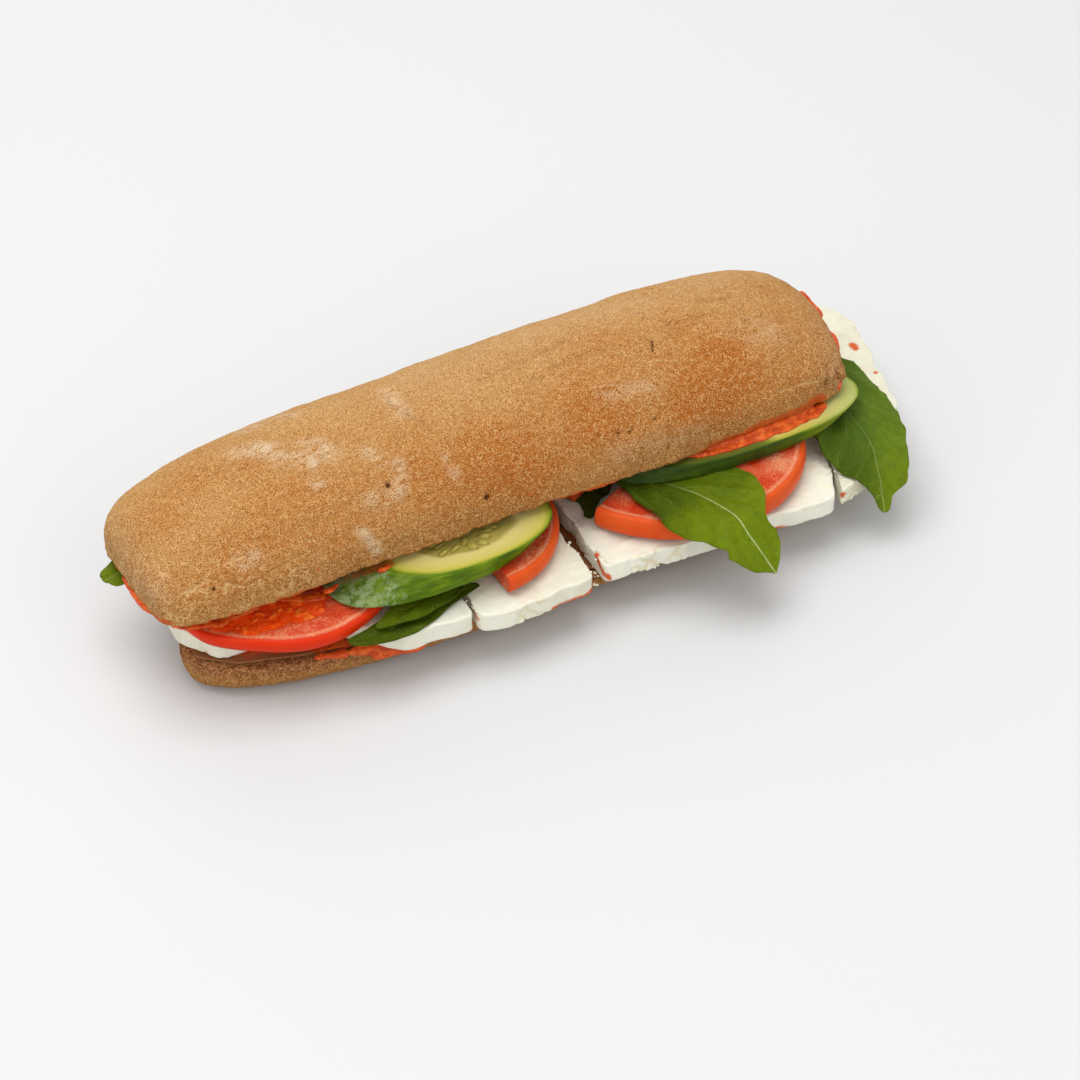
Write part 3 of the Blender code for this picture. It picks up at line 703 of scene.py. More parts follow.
def crumb_pile(lines, sizes, seed):
    """Small uneven bits strewn along some lines: all of them as one mesh of points and faces."""
    chance = np.random.default_rng(seed)
    pile = bmesh.new()
    for line, strew, count in lines:
        for share in chance.uniform(0.0, 1.0, count):
            place = along(line, np.array([share]))[0] + chance.normal(0.0, strew, 3) * (1.0, 1.0, 0.1)
            bit = bmesh.ops.create_icosphere(pile, subdivisions=2, radius=chance.uniform(*sizes) * CM)
            turned = Matrix.Rotation(chance.uniform(0.0, 6.3), 4, "Z")
            squash = Matrix.Diagonal((*chance.uniform(0.7, 1.5, 2), chance.uniform(0.6, 1.0), 1.0))
            moved = Matrix.Translation(place * CM) @ turned @ squash
            bmesh.ops.transform(pile, matrix=moved, verts=bit["verts"])
    pile.verts.index_update()
    points = np.array([vertex.co for vertex in pile.verts]) / CM
    faces = [tuple(vertex.index for vertex in face.verts) for face in pile.faces]
    pile.free()
    uneven = np.stack([lumps(points, 0.05, seed + k) for k in range(3)], axis=1)
    return points + CRUMB_LUMPS * uneven, faces


serve("feta_crumbs", None, "feta", *crumb_pile(CRUMB_LINES, CRUMB_SIZES, 21), feta_look)

# ---------------------------------------------------------------------------------------------
# The leaves: rocket and young spinach, each a thin blade with a pale midrib and side veins that
# pucker it. They lie loose between the slices, and their tips hang out.

FULL_TURN = 2 * math.pi
LEAF_THICKNESS, LEAF_STEPS, LEAF_ACROSS, LEAF_SMOOTHING = 0.035, 150, 30, 6
VEINS_PER_CM, VEIN_SLANT = 0.75, 1.15
TEETH_PER_CM, TOOTH_RISE = 1.35, 0.75
# How far out a leaf's left and right edges are from its midrib, at shares of its length.
LEAF_1_LEFT = [(0.0, 0.3), (0.2, 1.0), (0.4, 1.75), (0.46, 1.79), (0.51, 1.71), (0.6, 1.49)]
LEAF_1_LEFT += [(0.68, 1.05), (0.72, 0.88), (0.78, 0.83), (0.86, 0.87), (0.91, 0.76), (0.96, 0.4)]
LEAF_1_LEFT += [(0.99, 0.11), (1.0, 0.03)]
LEAF_1_RIGHT = [(0.0, 0.3), (0.13, 0.96), (0.2, 1.3), (0.25, 1.5), (0.34, 1.79), (0.44, 2.0)]
LEAF_1_RIGHT += [(0.54, 2.08), (0.61, 2.05), (0.67, 1.78), (0.74, 1.4), (0.79, 1.05), (0.805, 1.06)]
LEAF_1_RIGHT += [(0.825, 1.23), (0.865, 1.05), (0.932, 0.71), (0.952, 0.37), (0.985, 0.05)]
LEAF_1_RIGHT += [(1.0, 0.02)]
LEAF_2_LEFT = [(0.0, 0.02), (0.14, 0.03), (0.19, 0.26), (0.24, 0.33), (0.28, 0.42), (0.34, 0.66)]
LEAF_2_LEFT += [(0.38, 0.67), (0.41, 0.83), (0.435, 0.8), (0.485, 0.92), (0.53, 1.03), (0.59, 1.06)]
LEAF_2_LEFT += [(0.64, 1.11), (0.73, 1.03), (0.78, 1.08), (0.82, 0.97), (0.868, 0.85), (0.88, 0.5)]
LEAF_2_LEFT += [(0.905, 0.33), (0.955, 0.24), (0.985, 0.15), (1.0, 0.02)]
LEAF_2_RIGHT = [(0.0, 0.2), (0.2, 0.8), (0.4, 1.45), (0.6, 1.85), (0.65, 1.78), (0.71, 1.7)]
LEAF_2_RIGHT += [(0.76, 1.46), (0.8, 1.22), (0.858, 0.81), (0.878, 0.54), (0.91, 0.36), (0.955, 0.25)]
LEAF_2_RIGHT += [(0.985, 0.16), (1.0, 0.02)]
LEAF_5_RIGHT = [(0.0, 0.3), (0.33, 1.1), (0.55, 0.85), (0.64, 0.55), (0.72, 0.14), (0.85, 0.1)]
LEAF_5_RIGHT += [(0.93, 0.18), (1.0, 0.05)]
# Each leaf's midrib, its two edges, how deep its teeth are and how clearly its midrib shows.
LEAVES = {
    "leaf_1": (
        [(3.6, -1.2), (4.28, -2.79), (5.0, -3.95), (5.42, -5.2), (5.6, -6.1), (5.95, -7.0)],
        LEAF_1_LEFT,
        LEAF_1_RIGHT,
        0.02,
        1.0,
    ),
    "leaf_2": (
        [(12.6, 0.9), (12.8, -0.8), (12.2, -2.2), (11.6, -3.6), (11.05, -4.95), (10.7, -5.9)],
        LEAF_2_LEFT,
        LEAF_2_RIGHT,
        0.05,
        0.4,
    ),
    "leaf_3": (
        [(-6.8, -3.9), (-6.0, -4.0), (-4.9, -3.95), (-3.6, -3.65), (-2.3, -3.5)],
        [(0.0, 0.1), (0.25, 0.35), (0.5, 0.7), (0.75, 0.6), (1.0, 0.06)],
        [(0.0, 0.1), (0.2, 0.4), (0.5, 0.56), (0.75, 0.4), (1.0, 0.06)],
        0.0,
        0.1,
    ),
    "leaf_4": (
        [(-2.6, -2.5), (-3.3, -3.3), (-4.6, -3.7), (-5.9, -3.9)],
        [(0.0, 0.2), (0.33, 0.6), (0.67, 0.6), (1.0, 0.06)],
        [(0.0, 0.2), (0.33, 0.45), (0.67, 0.5), (1.0, 0.06)],
        0.0,
        0.1,
    ),
    "leaf_5": (
        [(3.6, 0.1), (2.9, -0.7), (2.4, -1.6), (2.15, -2.5)],
        [(0.0, 0.3), (0.33, 1.0), (0.6, 0.8), (0.82, 0.3), (1.0, 0.05)],
        LEAF_5_RIGHT,
        0.0,
        0.4,
    ),
    "leaf_6": (
        [(-9.3, 2.3), (-10.6, 1.7), (-11.6, 1.35), (-12.2, 1.2)],
        [(0.0, 0.2), (0.33, 0.8), (0.67, 0.6), (0.9, 0.42), (1.0, 0.06)],
        [(0.0, 0.2), (0.33, 0.7), (0.67, 0.5), (0.9, 0.36), (1.0, 0.06)],
        0.0,
        0.15,
    ),
    "leaf_7": (
        [(-7.0, 1.6), (-7.4, 2.8), (-7.6, 4.0), (-7.5, 5.0), (-7.2, 5.7)],
        [(0.0, 0.3), (0.25, 1.3), (0.5, 1.6), (0.75, 1.0), (1.0, 0.06)],
        [(0.0, 0.3), (0.25, 1.2), (0.5, 1.5), (0.75, 1.0), (1.0, 0.06)],
        0.05,
        0.8,
    ),
    "leaf_8": (
        [(1.0, 1.2), (1.1, 2.4), (1.2, 3.4), (1.4, 4.4), (1.6, 5.2)],
        [(0.0, 0.2), (0.25, 0.9), (0.5, 1.4), (0.75, 1.0), (1.0, 0.06)],
        [(0.0, 0.3), (0.25, 1.1), (0.5, 1.3), (0.75, 0.9), (1.0, 0.06)],
        0.05,
        0.8,
    ),
}


def leaf_heights(node, plan):
    """How high the node's own leaf is above each place in plan, held level past its edge."""
    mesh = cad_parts[node].data
    tree = BVHTree.FromPolygons(
        [vertex.co for vertex in mesh.vertices], [face.vertices for face in mesh.polygons]
    )
    heights, guess = np.zeros(len(plan)), float(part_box(node)[0].z)
    for k, (x, y) in enumerate(plan * CM):
        hit = tree.ray_cast(Vector((x, y, 1.0)), Vector((0.0, 0.0, -1.0)))[0]
        if hit is None:
            hit = tree.find_nearest(Vector((x, y, guess)))[0]
        heights[k] = guess = hit.z
    return heights / CM


def leaf_finish():
    """A fresh leaf: mid green with a soft sheen, yellower towards its tip, with pale veins."""
    leaf = Finish(
        "green_leaf",
        subsurface_weight=0.1,
        subsurface_radius=(0.4, 1.0, 0.1),
        subsurface_scale=0.001,
        specular_ior_level=0.07,
    )
    run, out, ribbed, bright = map(leaf.mark, ("run", "out", "ribbed", "bright"))
    wobble = leaf.cloud(0.5, detail=2.0) - 0.5
    aside = abs(out)
    place = run * VEINS_PER_CM - aside * VEIN_SLANT + wobble * 0.5
    turn = leaf.node("ShaderNodeMath", {"operation": "PINGPONG"}, {0: place, 1: 0.5})
    side = 1.0 - leaf.above(turn, 0.003, 0.028)
    side = side * (1.0 - leaf.above(aside, 0.5, 1.7) * 0.6)
    midrib = (1.0 - leaf.above(aside, 0.014, 0.04)) * ribbed * (bright * 0.8 + 0.15)
    net = 1.0 - leaf.above(leaf.cells(0.22, "DISTANCE_TO_EDGE"), 0.0, 0.09)
    broad = leaf.cloud(1.1, detail=3.0)
    fine = leaf.cloud(0.09, detail=3.0)
    green = leaf.tones(
        leaf.above(broad * 0.5 + 0.6 * bright, 0.15, 0.85),
        (0.0, (0.028, 0.050, 0.0016)),
        (0.5, (0.080, 0.118, 0.0014)),
        (1.0, (0.128, 0.180, 0.0015)),
    )
    puckers = leaf.cloud(0.22, detail=2.0)
    blemish = leaf.above(leaf.mark("blemish") + (fine - 0.5) * 1.5, 0.45, 0.8)
    green = leaf.coated(
        green,
        # A bluish tint with painted sheen, over leaf_2's upper part.
        (leaf.mark("cool") * 0.5, (0.052, 0.120, 0.016)),
        (fine * 0.25, (0.11, 0.15, 0.004)),
        (net * 0.10, (0.20, 0.28, 0.03)),
        (side * 0.30, (0.28, 0.36, 0.07)),
        (midrib * 0.75, (0.50, 0.58, 0.24)),
        (leaf.above(puckers, 0.35, 0.7) * 0.25, (0.045, 0.075, 0.002)),
        (blemish * 0.8, (0.20, 0.055, 0.004)),
    )
    leaf.wear({"base color": green, "roughness": 0.45 + fine * 0.2})
    height = fine * 0.2 - net * 0.12 - side * 0.4 - midrib * 0.5 + broad * 0.4 + puckers * 0.6
    leaf.relief(height, 0.04)
    return leaf


# How bright a leaf is at its stem and at its tip, where that isn't (0.0, 0.7).
LEAF_TONES = {
    "leaf_1": (0.0, 1.0),
    "leaf_3": (0.0, 0.15),
    "leaf_4": (0.0, 0.3),
    "leaf_5": (0.0, 0.0),
    "leaf_6": (0.6, 1.0),
}
# How far aside a midrib lies near the stem, and how deep the puckers are where they aren't 0.03.
LEAF_BENDS = {"leaf_2": 0.6}
LEAF_PUCKERS = {"leaf_2": 0.055}
LEAF_BLEMISHES = [(4.1, -2.45, 2.9), (4.3, -3.35, 2.8), (3.5, -5.5, 2.1)]


def cells_of(grid):
    """The four-sided faces between the neighbouring points of a grid."""
    return np.stack([grid[:-1, :-1], grid[:-1, 1:], grid[1:, 1:], grid[1:, :-1]], -1).reshape(-1, 4)


def rim_of(grid):
    """The points round the edge of a grid, in order."""
    return np.concatenate([grid[:-1, 0], grid[-1, :-1], grid[:0:-1, -1], grid[0, :0:-1]])


leaf_look = leaf_finish()
leaf_shape = (2, LEAF_STEPS + 1, 2 * LEAF_ACROSS + 1)
top, bottom = np.arange(math.prod(leaf_shape)).reshape(leaf_shape)
rim, low_rim = rim_of(top), rim_of(bottom)
edge_faces = np.stack([rim, np.roll(rim, -1), np.roll(low_rim, -1), low_rim], -1)
leaf_faces = np.vstack([cells_of(top)[:, ::-1], cells_of(bottom), edge_faces]).tolist()
for seed, (node, (spine, left, right, teeth, ribbed)) in enumerate(LEAVES.items(), start=71):
    shares = np.linspace(0.0, 1.0, LEAF_STEPS + 1)
    centre = along(spine, shares)
    run = along(spine, np.minimum(1.0, shares + 0.02)) - along(spine, np.maximum(0.0, shares - 0.02))
    aside = sideways(run)
    length = np.concatenate([[0.0], np.cumsum(np.hypot(*np.diff(centre, axis=0).T))])
    outs = np.linspace(-1.0, 1.0, 2 * LEAF_ACROSS + 1)
    widths = {-1: np.interp(shares, *zip(*right)), 1: np.interp(shares, *zip(*left))}
    for side, width in widths.items():
        width[1:-1] = 0.5 * width[1:-1] + 0.25 * (width[:-2] + width[2:])
        edge = np.stack([length, np.full(len(length), side * 3.0), 0.0 * length], axis=1)
        saw = (length * TEETH_PER_CM + 0.3 * side) % 1.0
        saw = np.where(saw < TOOTH_RISE, saw / TOOTH_RISE, (1.0 - saw) / (1.0 - TOOTH_RISE))
        width *= 1.0 + 0.03 * lumps(edge, 0.55, seed)
        width -= teeth * saw * fade(width, 0.2, 0.8)
        width -= 0.6 * teeth * np.abs(lumps(edge, 0.25, seed + 1))
    reach = np.where(outs < 0, widths[-1][:, None], widths[1][:, None])
    plan = centre[:, None, :] + aside[:, None, :] * (outs * reach)[..., None] + MIDDLE
    heights = leaf_heights(node, plan.reshape(-1, 2)).reshape(plan.shape[:2])
    for _ in range(LEAF_SMOOTHING):
        inner = heights[1:-1, 1:-1]
        around = heights[:-2, 1:-1] + heights[2:, 1:-1] + heights[1:-1, :-2] + heights[1:-1, 2:]
        heights[1:-1, 1:-1] = 0.5 * inner + 0.125 * around
    out = outs * reach + LEAF_BENDS.get(node, 0.0) * (1.0 - fade(shares, 0.45, 0.72))[:, None]
    vein = np.abs(((length[:, None] * VEINS_PER_CM - np.abs(out) * VEIN_SLANT) % 1.0) - 0.5)
    pucker = LEAF_PUCKERS.get(node, 0.03) * np.cos(vein * FULL_TURN) * fade(np.abs(out), 0.1, 0.6)
    flat = np.concatenate([plan, 0.0 * plan[..., :1]], axis=2)
    heights += -pucker - 0.03 * hump(out, 0.12)
    heights += 0.02 * lumps(flat, 0.45, seed + 2) * fade(np.abs(out), 0.0, 0.3)
    blade = np.concatenate([plan, heights[..., None]], axis=2)
    normal = unit(np.cross(np.gradient(blade, axis=1), np.gradient(blade, axis=0)))
    normal *= np.sign(normal[..., 2:])
    points = np.stack([blade, blade - normal * LEAF_THICKNESS]).reshape(-1, 3)
    bright = np.interp(fade(shares, 0.2, 0.75), (0.0, 1.0), LEAF_TONES.get(node, (0.0, 0.7)))[:, None]
    cool = 0.0
    if node == "leaf_2":
        # Painted light on leaf_2's right side towards its tip, and painted shade on its left lobe, where
        # its fold turns it to and from the light.
        bright = 0.15 + 0.65 * fade(out + 1.4 * shares[:, None], 0.7, 1.6)
        # A bluish tint with painted sheen on leaf_2's upper part, fading towards its tip.
        cool = 1.0 - 0.7 * fade(shares, 0.5, 0.85)[:, None]
    marks = {
        "run": length[:, None],
        "out": out,
        "bright": bright,
        "ribbed": ribbed,
        "cool": cool,
        "blemish": sum(nearness(blade, [spot], 0.14) for spot in LEAF_BLEMISHES),
    }
    for mark, values in marks.items():
        marks[mark] = np.tile(np.broadcast_to(values, out.shape).reshape(-1), 2)
    serve(node.replace("leaf", "salad_leaf"), node, "leaf", points, leaf_faces, leaf_look, marks)

# ---------------------------------------------------------------------------------------------
# The tomato: one whole slice and three half ones, 6 to 7 mm thick. Each has a thin red skin, a
# firm wall of flesh inside it, and wet pockets of seeds between its ribs.

TOMATO_LEVEL = 2.17
TOMATO_CELL, TOMATO_ROUNDING, TOMATO_DEPTH = 0.045, 0.06, 2.4
HALF_TURN, QUARTER_TURN, CUT_TURN = math.pi, math.pi / 2, math.radians(25.4)
# Each slice's centre, radius, thickness, the angles its rim starts and ends at, how much its top
# flares out past its underside, and how far its ribs are turned.
TOMATOES = {
    "tomato_1": ((-7.18, 0.15), 3.8, 0.58, (0.0, FULL_TURN), 0.15, 0.472),
    "tomato_2": ((-1.9, -1.35), 3.05, 0.58, (0.05 - QUARTER_TURN, QUARTER_TURN), 0.0, 0.76),
    "tomato_3": ((5.78, -1.2), 4.08, 0.7, (CUT_TURN - HALF_TURN, CUT_TURN), 0.0, 0.89),
    "tomato_4": ((5.35, -0.12), 3.6, 0.58, (CUT_TURN, CUT_TURN + HALF_TURN), 0.0, 0.02),
}
POCKET_TURN = FULL_TURN / 5
# Where the whole slice lies bare of flesh, so that its wet pockets run together.
TOMATO_OPENED = [(-11.4, -1.4, 2.7), (-8.9, -1.5, 2.7)]


def tomato_finish():
    """Ripe tomato: smooth orange-red skin, granular salmon-red flesh, dark wet seed pockets."""
    tomato = Finish(
        "ripe_tomato",
        subsurface_weight=0.15,
        subsurface_radius=(1.0, 0.2, 0.06),
        subsurface_scale=0.0015,
        specular_ior_level=0.07,
        coat_roughness=0.1,
    )
    broad = tomato.cloud(0.9, detail=2.0)
    fine = tomato.cloud(0.08, detail=3.0, rough=0.6)
    skin = tomato.mark("skin")
    flesh = tomato.tones(
        broad * 0.55 + fine * 0.45,
        (0.36, (0.50, 0.026, 0.004)),
        (0.5, (0.61, 0.072, 0.022)),
        (0.64, (0.72, 0.27, 0.14)),
    )
    gel = tomato.mix(tomato.above(fine, 0.3, 0.7), (0.92, 0.035, 0.002), (0.96, 0.13, 0.008))
    peel = tomato.mix(broad, (0.60, 0.045, 0.006), (0.67, 0.115, 0.018))
    red = tomato.coated(
        flesh,
        (tomato.mark("rib") * 0.3, (0.66, 0.16, 0.07)),
        (tomato.mark("pocket") * 0.9, gel),
        (tomato.mark("seed") * 0.4, (0.98, 0.30, 0.03)),
        (skin, tomato.mix(tomato.mark("ripe") * 0.75, peel, (0.62, 0.012, 0.0005))),
        (tomato.mark("edge") * 0.6, (0.82, 0.34, 0.18)),
    )
    glint = tomato.above(fine, 0.5, 0.62) * (1.0 - skin)
    shine = {"roughness": 0.36 - skin * 0.08, "coat weight": 0.04 + glint * 0.3}
    tomato.wear({"base color": red, **shine})
    tomato.relief((fine + broad * 0.4) * (1.0 - skin * 0.9), 0.05)
    return tomato


tomato_look = tomato_finish()
for seed, (node, (centre, reach, thickness, span, flare, start)) in enumerate(
    TOMATOES.items(), start=51
):
    centre = MIDDLE + centre
    turns = np.linspace(*span, 240, endpoint=span[1] - span[0] < FULL_TURN)
    loop = centre + reach * np.stack([np.cos(turns), np.sin(turns)], axis=1)
    outline = walked(loop, TOMATO_CELL)
    middle, high = outline.mean(axis=0), TOMATO_LEVEL + thickness
    disc = Slice(outline, middle, TOMATO_LEVEL, high, TOMATO_CELL, TOMATO_ROUNDING, TOMATO_DEPTH)
    points, up = disc.points, disc.up()
    away = points[..., :2] - centre
    radius = np.hypot(away[..., 0], away[..., 1]) / reach
    turn = np.arctan2(away[..., 1], away[..., 0])
    swell = 0.04 * lumps(points, 1.8, seed) + 0.03 * np.sin(3 * turn + seed)
    skin = fade(radius, 0.965, 0.985) * fade(up, -0.1, 0.02)
    bulge = (0.10 * 4 * up * (1 - up) + flare * (up - 0.5) * 1.2 + swell) * fade(radius, 0.55, 1.0)
    rib_turn = turn / POCKET_TURN + start + 0.06 * lumps(points, 1.3, seed + 1)
    from_rib = (0.5 - np.abs((rib_turn % 1.0) - 0.5)) * POCKET_TURN * radius * reach
    wavy = 0.05 * lumps(points, 0.6, seed + 2)
    pocket = fade(from_rib + wavy, 0.16, 0.3) * fade(radius + wavy, 0.30, 0.36)
    opened = nearness(points, TOMATO_OPENED, 0.8) + 0.25 * lumps(points, 0.45, seed + 7)
    opened = fade(opened, 0.25, 0.65) * (node == "tomato_1")
    pocket = np.maximum(pocket, opened)
    pocket *= 1.0 - fade(radius + wavy - 0.66 - 0.25 * opened, 0.0, 0.07)
    seeds = fade(lumps(points, (0.22, 0.16, 5.0), seed + 3), 0.28, 0.42) * pocket
    push = -disc.cut_sides() * pocket * (0.08 - 0.05 * seeds - 0.05 * lumps(points, 0.35, seed + 6))
    push += (0.012 * lumps(points, 0.3, seed + 4) + 0.02 * lumps(points, 0.8, seed + 5)) * (1 - skin)
    disc.push(push)
    disc.points[..., :2] += unit(away) * bulge[..., None]
    if node == "tomato_1":
        hang = 0.12 * np.maximum(0.0, np.abs(disc.points[..., 1] - MIDDLE[1]) - 2.4) ** 2
        sag = fade(-disc.points[..., 0], 10.3, 12.2) * fade(-disc.points[..., 1], 0.0, 1.2)
        disc.points[..., 2] -= hang + 0.12 * sag
        disc.points[..., 1] -= 0.22 * sag
    marks = {
        "skin": skin,
        "pocket": pocket,
        "seed": seeds,
        "rib": (1 - fade(radius, 0.7, 0.9)) * (1 - pocket),
        "edge": hump(radius - 0.955, 0.012) * fade(up, 0.8, 1.0),
        "ripe": float(node == "tomato_1"),
    }
    disc.serve(node.replace("tomato", "tomato_slice"), node, "tomato", tomato_look, marks)

# ---------------------------------------------------------------------------------------------
# The cucumber: slices cut on a long slant, 5 to 6 mm thick. Dark green skin with a waxy bloom and
# painted glints, a green layer under it, pale flesh, and a soft middle full of flat seeds in clear jelly.

CUCUMBER_CELL, CUCUMBER_ROUNDING, CUCUMBER_DEPTH = 0.045, 0.04, 1.5
OVAL_POWER = 2.3
PIPS, PIP_LENGTH, PIP_WIDTH = 24, 0.2, 0.1
# Each slice's centre, half length and half width, how many degrees it is turned, the height of
# its underside, its thickness, and how far its underside slides along it and grows.
CUCUMBERS = {
    "cucumber_1": ((-2.2, -2.42), (2.85, 1.65), 0.0, 2.81, 0.58, -1.2, 0.5),
    "cucumber_2": ((7.75, -1.95), (4.2, 1.6), -3.0, 2.98, 0.45, -0.6, 0.0),
    "cucumber_3": ((-2.6, 1.9), (3.1, 1.7), 4.0, 2.81, 0.58, 0.5, 0.0),
    "cucumber_4": ((6.2, 2.05), (3.2, 1.7), -3.0, 2.81, 0.58, -0.5, 0.0),
}
CUCUMBER_SAUCE = [(-7.5, -1.62, 3.2), (-6.9, -1.85, 3.36), (-6.2, -2.05, 3.39)]


def cucumber_finish():
    """Cucumber: dark skin with paler streaks and bloom, partly painted glints, flesh from green to pale
    yellow-green.
    """
    cucumber = Finish(
        "fresh_cucumber",
        subsurface_weight=0.15,
        subsurface_radius=(0.6, 1.0, 0.2),
        subsurface_scale=0.0015,
        specular_ior_level=0.08,
        coat_roughness=0.15,
    )
    broad = cucumber.cloud(0.8, detail=3.0)
    fine = cucumber.cloud(0.08, detail=3.0, rough=0.6)
    streak = cucumber.cloud(0.3, detail=3.0, stretch=(0.3, 1.0, 2.0))
    flesh = cucumber.tones(
        cucumber.mark("heart"),
        (0.0, (0.10, 0.18, 0.002)),
        (0.05, (0.22, 0.30, 0.006)),
        (0.10, (0.46, 0.43, 0.065)),
        (0.2, (0.52, 0.465, 0.14)),
        (0.45, (0.60, 0.53, 0.215)),
    )
    light, dark, skin = map(cucumber.mark, ("light", "dark", "skin"))
    peel = cucumber.tones(
        streak * 0.6 + broad * 0.4,
        (0.35, (0.036, 0.072, 0.001)),
        (0.5, (0.080, 0.145, 0.0015)),
        (0.68, (0.17, 0.24, 0.004)),
    )
    patches = cucumber.cloud(0.3, detail=4.0, rough=0.65)
    # Whitish-green patches on the skin: waxy bloom, partly painted glints.
    bloom = cucumber.above(cucumber.mark("bloom") + (fine + patches * 2.0 - 1.5) * 1.3, 0.5, 1.1)
    # On cucumber_2's skin, the dark mark is painted shade and the light mark is painted light.
    peel = cucumber.coated(
        peel,
        (bloom * 0.62, (0.29, 0.36, 0.18)),
        (dark * 0.75, (0.018, 0.036, 0.006)),
        (light * (0.55 + streak * 0.6), (0.28, 0.33, 0.04)),
    )
    shaded = cucumber.above(dark, 0.75, 1.0) * (1.0 - skin)
    smear = cucumber.above(cucumber.mark("sauce") + (fine - 0.5) * 1.4 + (patches - 0.5), 0.3, 0.8)
    # On cucumber_2's flesh, the light mark adds painted light and the shaded share adds painted shade.
    green = cucumber.coated(
        flesh,
        (broad * 0.5, (0.55, 0.44, 0.11)),
        (light * 0.5, (0.46, 0.49, 0.17)),
        (cucumber.mark("jelly") * 0.8, cucumber.mix(broad, (0.16, 0.12, 0.006), (0.40, 0.34, 0.05))),
        (cucumber.mark("husk") * 0.6, (0.13, 0.09, 0.005)),
        (cucumber.mark("seed") * 0.6, (0.46, 0.38, 0.08)),
        (light * broad * 0.5, (0.50, 0.52, 0.22)),
        (skin, peel),
        (shaded * 0.8, (0.03, 0.055, 0.006)),
        (smear * 0.8, cucumber.mix(fine, (0.28, 0.04, 0.005), (0.60, 0.13, 0.015))),
    )
    cucumber.wear({"base color": green, "roughness": 0.32 + fine * 0.15, "coat weight": 0.06})
    cucumber.relief(fine * 0.5 + streak * 0.4 + bloom * fine, 0.025)
    return cucumber


cucumber_look = cucumber_finish()
for seed, (node, (centre, halves, degrees, low, thickness, slide, grow)) in enumerate(
    CUCUMBERS.items(), start=61
):
    turns = np.linspace(0.0, FULL_TURN, 360, endpoint=False)
    loop = np.stack([np.cos(turns), np.sin(turns)], axis=1)
    loop = halves * np.sign(loop) * np.abs(loop) ** (2.0 / OVAL_POWER)
    outline = walked(loop, CUCUMBER_CELL)
    high = low + thickness
    oval = Slice(outline, (0, 0), low, high, CUCUMBER_CELL, CUCUMBER_ROUNDING, CUCUMBER_DEPTH)
    points = oval.points
    radius = (np.abs(points[..., :2] / halves) ** OVAL_POWER).sum(axis=-1) ** (1 / OVAL_POWER)
    skin = np.where(oval.inset > 0.09, 0.0, fade(radius, 0.955, 0.985))
    jelly = 1.0 - fade(radius + 0.06 * lumps(points, 0.5, seed), 0.52, 0.62)
    pips = np.random.default_rng(seed)
    seed_mark, husk_mark = np.zeros(radius.shape), np.zeros(radius.shape)
    for k in range(PIPS):
        turn = FULL_TURN * (k + pips.uniform(-0.4, 0.4)) / PIPS
        ring = pips.uniform(0.24, 0.5)
        spot = ring * halves[0] * math.cos(turn), ring * halves[1] * math.sin(turn)
        lean = math.atan2(spot[1], spot[0]) + pips.uniform(-0.3, 0.3)
        dx, dy = points[..., 0] - spot[0], points[..., 1] - spot[1]
        along_pip = (dx * math.cos(lean) + dy * math.sin(lean)) / PIP_LENGTH
        across_pip = (dy * math.cos(lean) - dx * math.sin(lean)) / PIP_WIDTH
        size = np.hypot(along_pip, across_pip)
        seed_mark = np.maximum(seed_mark, 1.0 - fade(size, 0.5, 0.75))
        husk_mark = np.maximum(husk_mark, hump(size - 0.95, 0.2))
    push = oval.cut_sides() * (0.035 * seed_mark - 0.03 * husk_mark - 0.03 * jelly)
    push += 0.012 * lumps(points, 0.5, seed + 2) + 0.008 * lumps(points, 0.2, seed + 3) * skin
    oval.push(push)
    share = 1.0 - (oval.points[..., 2] - low) / thickness
    x = oval.points[..., 0] * (1.0 + grow * share / halves[0]) + slide * share
    y = oval.points[..., 1]
    wave = 0.02 * lumps(np.stack([x, y, 0.0 * x], axis=-1), 2.0, seed)
    turn = math.radians(degrees)
    oval.points = np.stack(
        [
            MIDDLE[0] + centre[0] + x * math.cos(turn) - y * math.sin(turn),
            MIDDLE[1] + centre[1] + x * math.sin(turn) + y * math.cos(turn),
            oval.points[..., 2] + wave,
        ],
        axis=-1,
    )
    x = oval.points[..., 0]
    bloom, dark, light = 0.1, 0.0, 0.0
    if node == "cucumber_1":
        # Most on cucumber_1's left end, where the whitish patches are partly painted glints.
        bloom = 0.85 * (1.0 - fade(x, -7.0, -5.4))
    if node == "cucumber_2":
        # cucumber_2: painted shade on its left part, under the crown's edge, and painted light on its
        # right end, which lies out in the light.
        dark, light = 1.0 - fade(x, 6.0, 9.0), fade(x, 7.6, 9.6)
    marks = {
        "skin": skin,
        "heart": 1.0 - radius,
        "jelly": jelly,
        "seed": seed_mark * (1 - skin),
        "husk": husk_mark * (1 - skin) * 0.8,
        "bloom": bloom,
        "dark": dark,
        "light": light,
        "sauce": nearness(oval.points, CUCUMBER_SAUCE, 0.22),
    }
    oval.serve(node.replace("cucumber", "cucumber_slice"), node, "cucumber", cucumber_look, marks)

# ---------------------------------------------------------------------------------------------
# The upper half of the roll: a low dome of wholemeal crust, dusted with flour before baking. It
# wrinkled and cracked a little as it cooled, and its cut edge has soaked up some of the spread.

UPPER_CELL = 0.07
